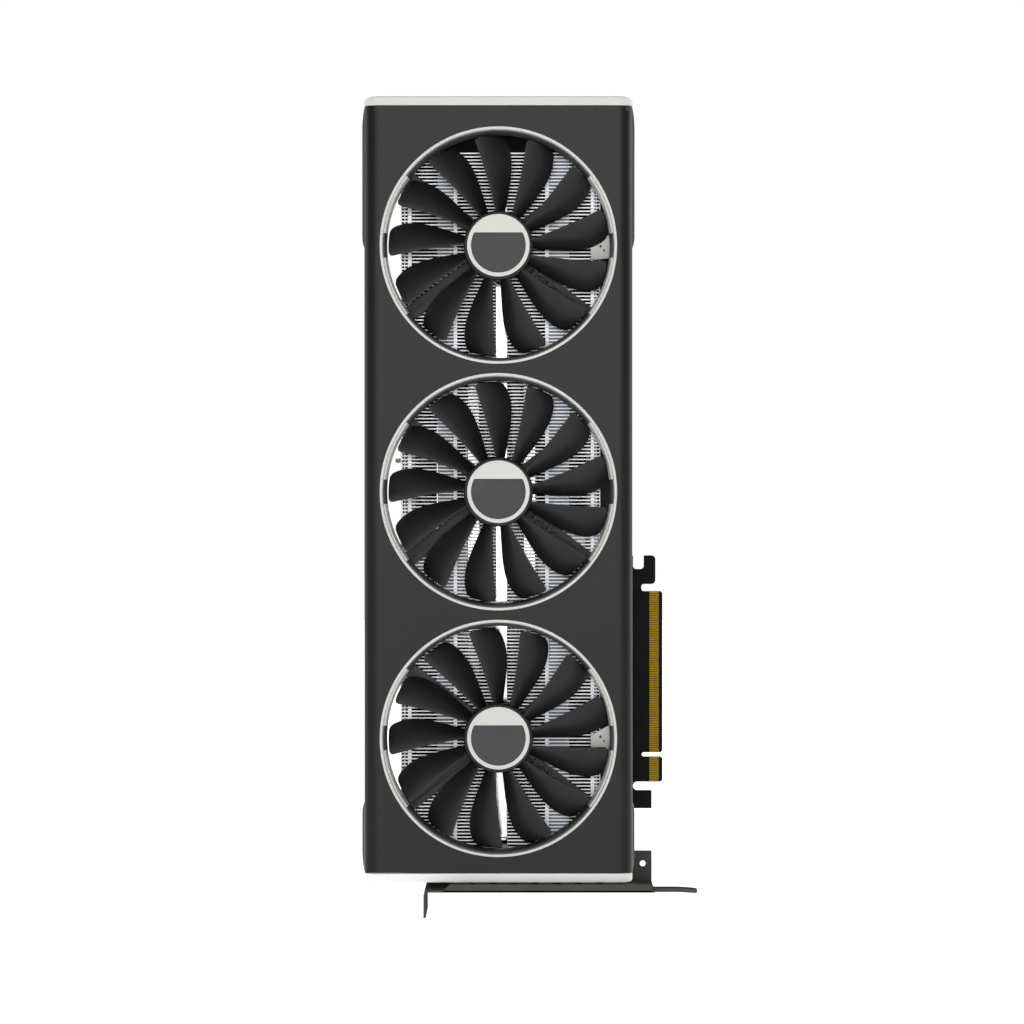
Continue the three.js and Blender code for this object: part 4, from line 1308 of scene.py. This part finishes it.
def makeMemory():
    # memory chips either side of the processor
    low, high = nodeBox("processor")
    bm = bmesh.new()
    for x in (low.x - 17, high.x + 4):
        for k in range(3):
            z = low.z - 4 + k * 18
            merge(bm, block((x, boardLow.y - 1.2, z), (x + 13, boardLow.y, z + 14), 0.15))
    for k in range(9):  # chokes further along
        z = 176 + k * 8.6
        merge(bm, block((12, boardLow.y - 2.2, z), (19, boardLow.y, z + 7), 0.4))
    return bm


placePiece("boardPackages", makeMemory(), resinCase)
print("board made")

# backplate

backPanel = {
    "thickness": 1.2,
    "corner": 2.2,
    "window": 84,
    "lip": 4.2,
    "screwInset": 7,
    "grooveDepth": 0.35,
    "grooves": 9,
    "grooveStart": 196,
    "groovePitch": 15,
    "grooveWidth": 2.4,
    "finish": {
        "colour": (0.011, 0.011, 0.0115), "tone": (0.016, 0.016, 0.0165), "patch": 40, "grain": 2200,
        "rough": (0.45, 0.56), "bump": 0.22, "depth": 0.03, "shine": 0.4, "metal": 0.2,
    },
}


def makeBackplate():
    low, high = nodeBox("backplate")
    left, right = boardLeft, high.x
    inner = high.y - backPanel["thickness"]
    plateLow, plateHigh = low.z, high.z
    floorY, width = high.y - backPanel["grooveDepth"], backPanel["grooveWidth"]
    outline = [
        (left, plateLow, backPanel["corner"]),
        (right, plateLow, backPanel["corner"]),
        (right, plateHigh, backPanel["corner"]),
        (left, plateHigh, backPanel["corner"]),
        (left, powerHigh, 0.8),
        (low.x, powerHigh, 1.2),
        (low.x, powerLow, 1.2),
        (left, powerLow, 0.8),
    ]
    x, _, z = nodeMiddle("processor")
    half = backPanel["window"] / 2
    window = softened(rectangle(x - half, z - half, x + half, z + half), 3)
    body = plate([softened(outline, 0), window], inner, high.y, "y", 0.2)
    grooves = []
    for k in range(backPanel["grooves"]):  # slanted pressed grooves towards the tail
        base = backPanel["grooveStart"] + k * backPanel["groovePitch"]
        x0, x1 = left + 12, right - 12
        groove = [(x0, base), (x1, base + 16), (x1, base + 16 + width), (x0, base + width)]
        grooves.append(plate([softened(groove, 1)], floorY, high.y + 2, "y"))
    for k in (0, 1, 2):  # level ones by the bracket
        rise = 14 + k * 7
        groove = softened(rectangle(left + 18, rise, right - 18, rise + width), 1)
        grooves.append(plate([groove], floorY, high.y + 2, "y"))
    body = carve(body, grooves)
    lipBack = high.y - backPanel["lip"]
    t = backPanel["thickness"]
    lips = [
        ((left, lipBack, plateLow + 2), (left + t, inner + 0.3, powerLow)),
        ((left, lipBack, powerHigh), (left + t, inner + 0.3, plateHigh - 2)),
        ((right - t, lipBack, plateLow + 2), (right, inner + 0.3, plateHigh - 2)),
        ((left + 2, lipBack, plateHigh - t), (right - 2, inner + 0.3, plateHigh)),
    ]
    merge(body, *[block(a, b, 0.2) for a, b in lips])
    return body


def standoffPlaces():
    low, high = nodeBox("backplate")
    inset = backPanel["screwInset"]
    middle = (nodeMiddle("processor")[2] + backPanel["window"] / 2 + boardHigh.z) / 2
    heights = (low.z + inset, middle, boardHigh.z - inset)
    return [(x, z) for z in heights for x in (boardLeft + inset, high.x - inset)]


def makeStandoffs():
    high = nodeBox("backplate")[1]
    bm = bmesh.new()
    for x, z in standoffPlaces():
        profile = [(0, boardHigh.y + 0.3), (2.3, boardHigh.y + 0.3), (2.6, boardHigh.y + 0.6)]
        profile += [(2.6, high.y - 1), (0, high.y - 1)]
        merge(bm, turned(profile, z, 32, x=x))
    return bm


def makePlateScrews():
    high = nodeBox("backplate")[1]
    bm = bmesh.new()
    inset = backPanel["screwInset"]
    tailPair = [(x, high.z - 8) for x in (boardLeft + inset, high.x - inset)]
    for x, z in standoffPlaces() + tailPair:
        merge(bm, screwHead(x, high.y - 0.2, z, 2.6, 0.8, 1))
    return bm


backplateCoat = makeFinish("backplateCoat", backPanel["finish"])
backplateMesh = merge(makeBackplate(), makeStandoffs())
placePiece("backplate", backplateMesh, backplateCoat, nodes=["backplate"])
placePiece("backplateScrews", makePlateScrews(), blackScrew)

# cross spring behind the processor

spring = {"arm": 9, "holes": 64}


def makeSpring():
    low, high = nodeBox("cross_spring")
    x, _, z = nodeMiddle("cross_spring")
    half, arm = spring["holes"] / 2, spring["arm"] / 2
    reach = half + arm / math.sqrt(2) + 2.2
    side = arm * math.sqrt(2)
    corner = reach - side / 2
    points = []
    for quarter in range(4):
        turn = math.radians(90 * quarter)
        for px, pz, radius in ((side, 0, 3), (reach, corner, 3.4), (corner, reach, 3.4)):
            points.append(
                (
                    x + px * math.cos(turn) - pz * math.sin(turn),
                    z + px * math.sin(turn) + pz * math.cos(turn),
                    radius,
                )
            )
    outlines = [softened(points, 0)]
    for a in (-1, 1):
        for b in (-1, 1):
            outlines.append(circleOutline(x + a * half, z + b * half, 1.6, 32))
    outlines.append(circleOutline(x, z, 3, 40))
    return plate(outlines, low.y, high.y, "y", 0.15)


def makeSpringScrews():
    bm = bmesh.new()
    for i in (1, 2, 3, 4):
        low, high = nodeBox(f"spring_screw_{i}")
        x, _, z = nodeMiddle(f"spring_screw_{i}")
        radius = (high.x - low.x) / 2
        merge(bm, screwHead(x, high.y - 1.8, z, radius, 1.8, 1))
        merge(bm, turned([(0, low.y), (1.2, low.y), (1.2, high.y - 1.5), (0, high.y - 1.5)], z, 20, x=x))
    return bm


springSteel = makeFinish(
    "springSteel",
    {
        "colour": (0.09, 0.09, 0.088), "tone": (0.13, 0.13, 0.127), "patch": 90, "grain": 3000,
        "rough": (0.3, 0.42), "bump": 0.1, "metal": 0.9, "stretch": (6, 1, 1),
    },
)
placePiece("crossSpring", makeSpring(), springSteel, nodes=["cross_spring"])
screwNodes = [f"spring_screw_{i}" for i in (1, 2, 3, 4)]
placePiece("springScrews", makeSpringScrews(), screwSteel, nodes=screwNodes)
print("backplate and spring made")

# slot bracket

bracket = {
    "thickness": 1,
    "bend": 1.4,  # inner radius of its folds
    "slotWidth": 18.42,
    "slotPitch": 20.32,
    "notchWidth": 4.4,
    "notchDepth": 6,
    "notchOffset": 4.6,
    "tongueWidth": 10.2,
    "tongueDrop": 0.6,
    "tongueThickness": 1.7,  # it is folded double
    "tongueBend": 0.5,  # the share of its length where the drop begins
    "tongueStart": 66.4,
    "tongueCorner": 3.2,
    "tongueSlot": 2,  # counted from the board
    "flange": (-25, 67.5, 3.7),  # its two ends and its height
    "foot": (57.0, 68.4, 14.8),  # the same for the foot
    "footHole": (64.4, 9, 1.3),  # its place and radius
    "grille": (9, 2, 6, 3),  # columns, rows, margin and bar
    "grilleLeftMargin": 12.6,
    "finish": {
        "colour": (0.062, 0.062, 0.057), "tone": (0.078, 0.078, 0.072), "patch": 70, "grain": 2600,
        "rough": (0.5, 0.6), "bump": 0.12, "depth": 0.03, "shine": 0,
    },
}
bracketLow, bracketHigh = nodeBox("slot_bracket")
tabLeft = bracketLow.x
plateRight = bracket["foot"][1]


def slotCentre(index):
    return bracketHigh.y - bracket["slotWidth"] / 2 - index * bracket["slotPitch"]


def makeBracketFace():
    t, bend = bracket["thickness"], bracket["bend"]
    near, far = bracketLow.y, bracketHigh.y
    foldEnd = tabLeft + bend + t
    face = [(foldEnd, near), (plateRight, near, 0.8), (plateRight, far, 0.8), (foldEnd, far)]
    outlines = [softened(face, 0)]
    for i in (1, 2, 3, 4):
        low, high = nodeBox(f"display_socket_{i}")
        outlines.append(softened(rectangle(low.x - 0.3, low.y - 0.3, high.x + 0.3, high.y + 0.3), 0.6))
    columns, rows, margin, bar = bracket["grille"]
    left, right = tabLeft + bracket["grilleLeftMargin"], plateRight - margin
    backEdge = nodeBox("display_socket_1")[0].y - margin + 0.3
    stepX = (right - left + bar) / columns
    stepY = (backEdge - near - margin + bar) / rows
    for row in range(rows):
        for column in range(columns):
            x, y = left + column * stepX, near + margin + row * stepY
            outlines.append(softened(rectangle(x, y, x + stepX - bar, y + stepY - bar), 1.2))
    return plate(outlines, 0, t, "z", 0.12)


def makeBracketTab():
    t, bend = bracket["thickness"], bracket["bend"]
    near, far = bracketLow.y, bracketHigh.y
    low = bracketLow.z
    points = [(far, low, 1.0), (far, -bend, 0), (near, -bend, 0), (near, low, 1.0)]
    half = bracket["notchWidth"] / 2
    top = low + bracket["notchDepth"]
    for index in (2, 1, 0):
        y = slotCentre(index) + bracket["notchOffset"]
        points += [(y - half, low, 0.3), (y - half, top, half * 0.98)]
        points += [(y + half, top, half * 0.98), (y + half, low, 0.3)]
    tab = plate([softened(points, 0)], tabLeft, tabLeft + t, "x", 0.12)
    fold = []
    for radius, order in ((bend + t, 1), (bend, -1)):
        arc = circleOutline(tabLeft + t + bend, -bend, radius, 10, 90, 180)
        fold += arc[::order]
    return merge(tab, plate([fold], near, far, "y"))


def makeTongue():
    # a flat finger that dips towards its rounded end
    bm = bmesh.new()
    t = bracket["tongueThickness"]
    bend = bracket["tongueBend"]
    start, end = bracket["tongueStart"], bracketHigh.x
    half = bracket["tongueWidth"] / 2
    corner = bracket["tongueCorner"]
    middle = slotCentre(bracket["tongueSlot"])
    rows = []
    for k in range(19):
        share = 1 - (1 - k / 18) ** 1.6
        x = start + (end - start) * share
        width = half
        if end - x < corner:
            width = half - corner + math.sqrt(max(corner**2 - (corner - (end - x)) ** 2, 0))
        drop = bracket["tongueDrop"] * max(0.0, (share - bend) / (1 - bend)) ** 1.6
        row = []
        for side, z in ((-1, 0), (1, 0), (1, t), (-1, t)):
            row.append(bm.verts.new((x, middle + side * width, z - drop)))
        rows.append(row)
    skin(bm, rows)
    return bm


def makeBracket():
    t = bracket["thickness"]
    near = bracketLow.y
    flangeLeft, flangeRight, flangeHigh = bracket["flange"]
    flangeShape = [(flangeLeft, 0), (flangeRight, 0, 0.4)]
    flangeShape += [(flangeRight, flangeHigh, 0.6), (flangeLeft + flangeHigh, flangeHigh, 0.6)]
    flange = plate([softened(flangeShape, 0)], near, near + t, "y", 0.2)
    footLeft, footRight, footHigh = bracket["foot"]
    holeX, holeZ, holeRadius = bracket["footHole"]
    footShape = [(footLeft, 0.2), (footRight, 0.2), (footRight, footHigh, 0.5), (footLeft, footHigh, 0.5)]
    footOutlines = [softened(footShape, 0), circleOutline(holeX, holeZ, holeRadius, 32)]
    foot = plate(footOutlines, boardLow.y - 1.2, boardLow.y - 0.3, "y", 0.12)
    return merge(makeBracketFace(), makeBracketTab(), flange, foot, makeTongue())


bracketNickel = makeFinish("bracketNickel", bracket["finish"])
placePiece("slotBracket", makeBracket(), bracketNickel, nodes=["slot_bracket"])
print("slot bracket made")

# display sockets

display = {
    "wall": 0.5,
    "recess": 12,
    "slant": (2.4, 2.2),  # the cut corner
    "contacts": 10,
    "tongueHalf": 0.8,
    "contactMargin": 3.6,  # from the tongue's left end
}


def makeDisplayShell(name):
    low, high = nodeBox(name)
    wall = display["wall"]
    slantX, slantY = display["slant"]
    outer = [
        (low.x, low.y, 0.6),
        (high.x, low.y, 0.6),
        (high.x, high.y, 0.6),
        (low.x + slantX, high.y, 0.6),
        (low.x, high.y - slantY, 0.6),
    ]
    inner = [
        (low.x + wall, low.y + wall, 0.4),
        (high.x - wall, low.y + wall, 0.4),
        (high.x - wall, high.y - wall, 0.4),
        (low.x + slantX + 0.2, high.y - wall, 0.4),
        (low.x + wall, high.y - slantY - 0.2, 0.4),
    ]
    sleeve = plate([softened(outer, 0), softened(inner, 0)], low.z, low.z + display["recess"], "z", 0.12)
    rear = plate([softened(outer, 0)], low.z + display["recess"] - 0.1, high.z, "z", 0.2)
    return merge(sleeve, rear)


def makeDisplayTongue(name):
    low, high = nodeBox(name)
    middle, half = nodeMiddle(name)[1], display["tongueHalf"]
    tip = low.z + display["recess"]
    return block((low.x + 2.6, middle - half, low.z + 0.4), (high.x - 2, middle + half, tip), 0.2)


def makeDisplayContacts(name):
    low, high = nodeBox(name)
    middle, half = nodeMiddle(name)[1], display["tongueHalf"]
    bm = bmesh.new()
    run = high.x - low.x - 6.4
    for k in range(display["contacts"]):
        x = low.x + display["contactMargin"] + run * k / (display["contacts"] - 1)
        for y in (middle - half, middle + half):
            merge(bm, block((x - 0.3, y - 0.06, low.z + 1.4), (x + 0.3, y + 0.06, low.z + 10)))
    return bm


socketSteel = makeFinish(
    "socketSteel",
    {
        "colour": (0.50, 0.50, 0.49), "tone": (0.58, 0.58, 0.57), "patch": 160, "grain": 3000,
        "rough": (0.25, 0.38), "bump": 0.08, "metal": 1, "stretch": (1, 1, 5),
    },
)
socketPlastic = makeFinish(
    "socketPlastic",
    {
        "colour": (0.011, 0.011, 0.011), "tone": (0.016, 0.016, 0.016), "patch": 150, "grain": 4200,
        "rough": (0.4, 0.55), "bump": 0.15,
    },
)
for i in (1, 2, 3, 4):
    node = f"display_socket_{i}"
    placePiece(f"displaySocket{i}", makeDisplayShell(node), socketSteel, nodes=[node])
    placePiece(f"displayTongue{i}", makeDisplayTongue(node), socketPlastic)
    placePiece(f"displayContacts{i}", makeDisplayContacts(node), goldContact)

# power sockets

power = {"hole": 3.5, "pitch": 4.4, "columns": 4, "rows": 2, "depth": 11, "pin": 0.35}


def powerCells(name):
    _, middleY, middleZ = nodeMiddle(name)
    cells = []
    for row in range(power["rows"]):
        for column in range(power["columns"]):
            y = middleY + (row - (power["rows"] - 1) / 2) * power["pitch"]
            z = middleZ + (column - (power["columns"] - 1) / 2) * power["pitch"]
            cells.append((y, z, (row + column) % 2))
    return cells


def makePowerSocket(name):
    low, high = nodeBox(name)
    half = power["hole"] / 2
    outer = softened(rectangle(low.y, low.z, high.y, high.z), 0.6)
    outlines = [outer]
    for y, z, cut in powerCells(name):
        radius = 1.1 if cut else 0.25
        hole = [(y - half, z - half, radius), (y + half, z - half, 0.25)]
        hole += [(y + half, z + half, 0.25), (y - half, z + half, radius)]
        outlines.append(softened(hole, 0))
    front = plate(outlines, low.x, low.x + power["depth"], "x", 0.12)
    rear = plate([outer], low.x + power["depth"] - 0.1, high.x, "x", 0.15)
    middleZ = nodeMiddle(name)[2]
    latch = block((low.x + 1.2, low.y - 1.0, middleZ - 2.6), (low.x + 3.6, low.y + 0.2, middleZ + 2.6), 0.3)
    return merge(front, rear, latch)


def makePowerPins(name):
    low = nodeBox(name)[0]
    half = power["pin"]
    bm = bmesh.new()
    for y, z, _ in powerCells(name):
        merge(bm, block((low.x + 2, y - half, z - half), (low.x + power["depth"], y + half, z + half), 0.12))
    return bm


for i in (1, 2):
    node = f"power_socket_{i}"
    placePiece(f"powerSocket{i}", makePowerSocket(node), socketPlastic, nodes=[node])
    placePiece(f"powerPins{i}", makePowerPins(node), tinEnd)

# firmware switch

switch = {"slotHalf": 0.8, "rib": 0.25}


def makeSwitchHousing():
    low, high = nodeBox("firmware_switch")
    leverLow, leverHigh = nodeBox("firmware_switch_lever")
    _, middleY, middleZ = nodeMiddle("firmware_switch")
    half, halfTravel = switch["slotHalf"], (leverHigh.z - leverLow.z) + 0.3
    slot = rectangle(middleY - half, middleZ - halfTravel, middleY + half, middleZ + halfTravel)
    hole = softened(slot, 0.2)
    outer = softened(rectangle(low.y, low.z, high.y, high.z), 0.4)
    reach = leverHigh.x + 0.3
    return merge(plate([outer, hole], low.x, reach, "x", 0.1), plate([outer], reach - 0.1, high.x, "x", 0.1))


def makeSwitchLever():
    low, high = nodeBox("firmware_switch_lever")
    bm = block(low, high, 0.18, 3)
    for k in (0.3, 0.5, 0.7):  # grip ribs on its end
        z = low.z + (high.z - low.z) * k
        corners = (low.x - switch["rib"], low.y + 0.15, z - 0.1), (low.x + 0.2, high.y - 0.15, z + 0.1)
        merge(bm, block(*corners, 0.05, 1))
    return bm


leverPlastic = makeFinish(
    "leverPlastic",
    {
        "colour": (0.68, 0.68, 0.65), "tone": (0.76, 0.76, 0.73), "patch": 400, "grain": 5000,
        "rough": (0.4, 0.5), "bump": 0.1,
    },
)
placePiece("switchHousing", makeSwitchHousing(), socketPlastic, nodes=["firmware_switch"])
leverNode = "firmware_switch_lever"
placePiece("switchLever", makeSwitchLever(), leverPlastic, "switch_lever", [leverNode])
print("sockets and switch made")

print("whole card ready")
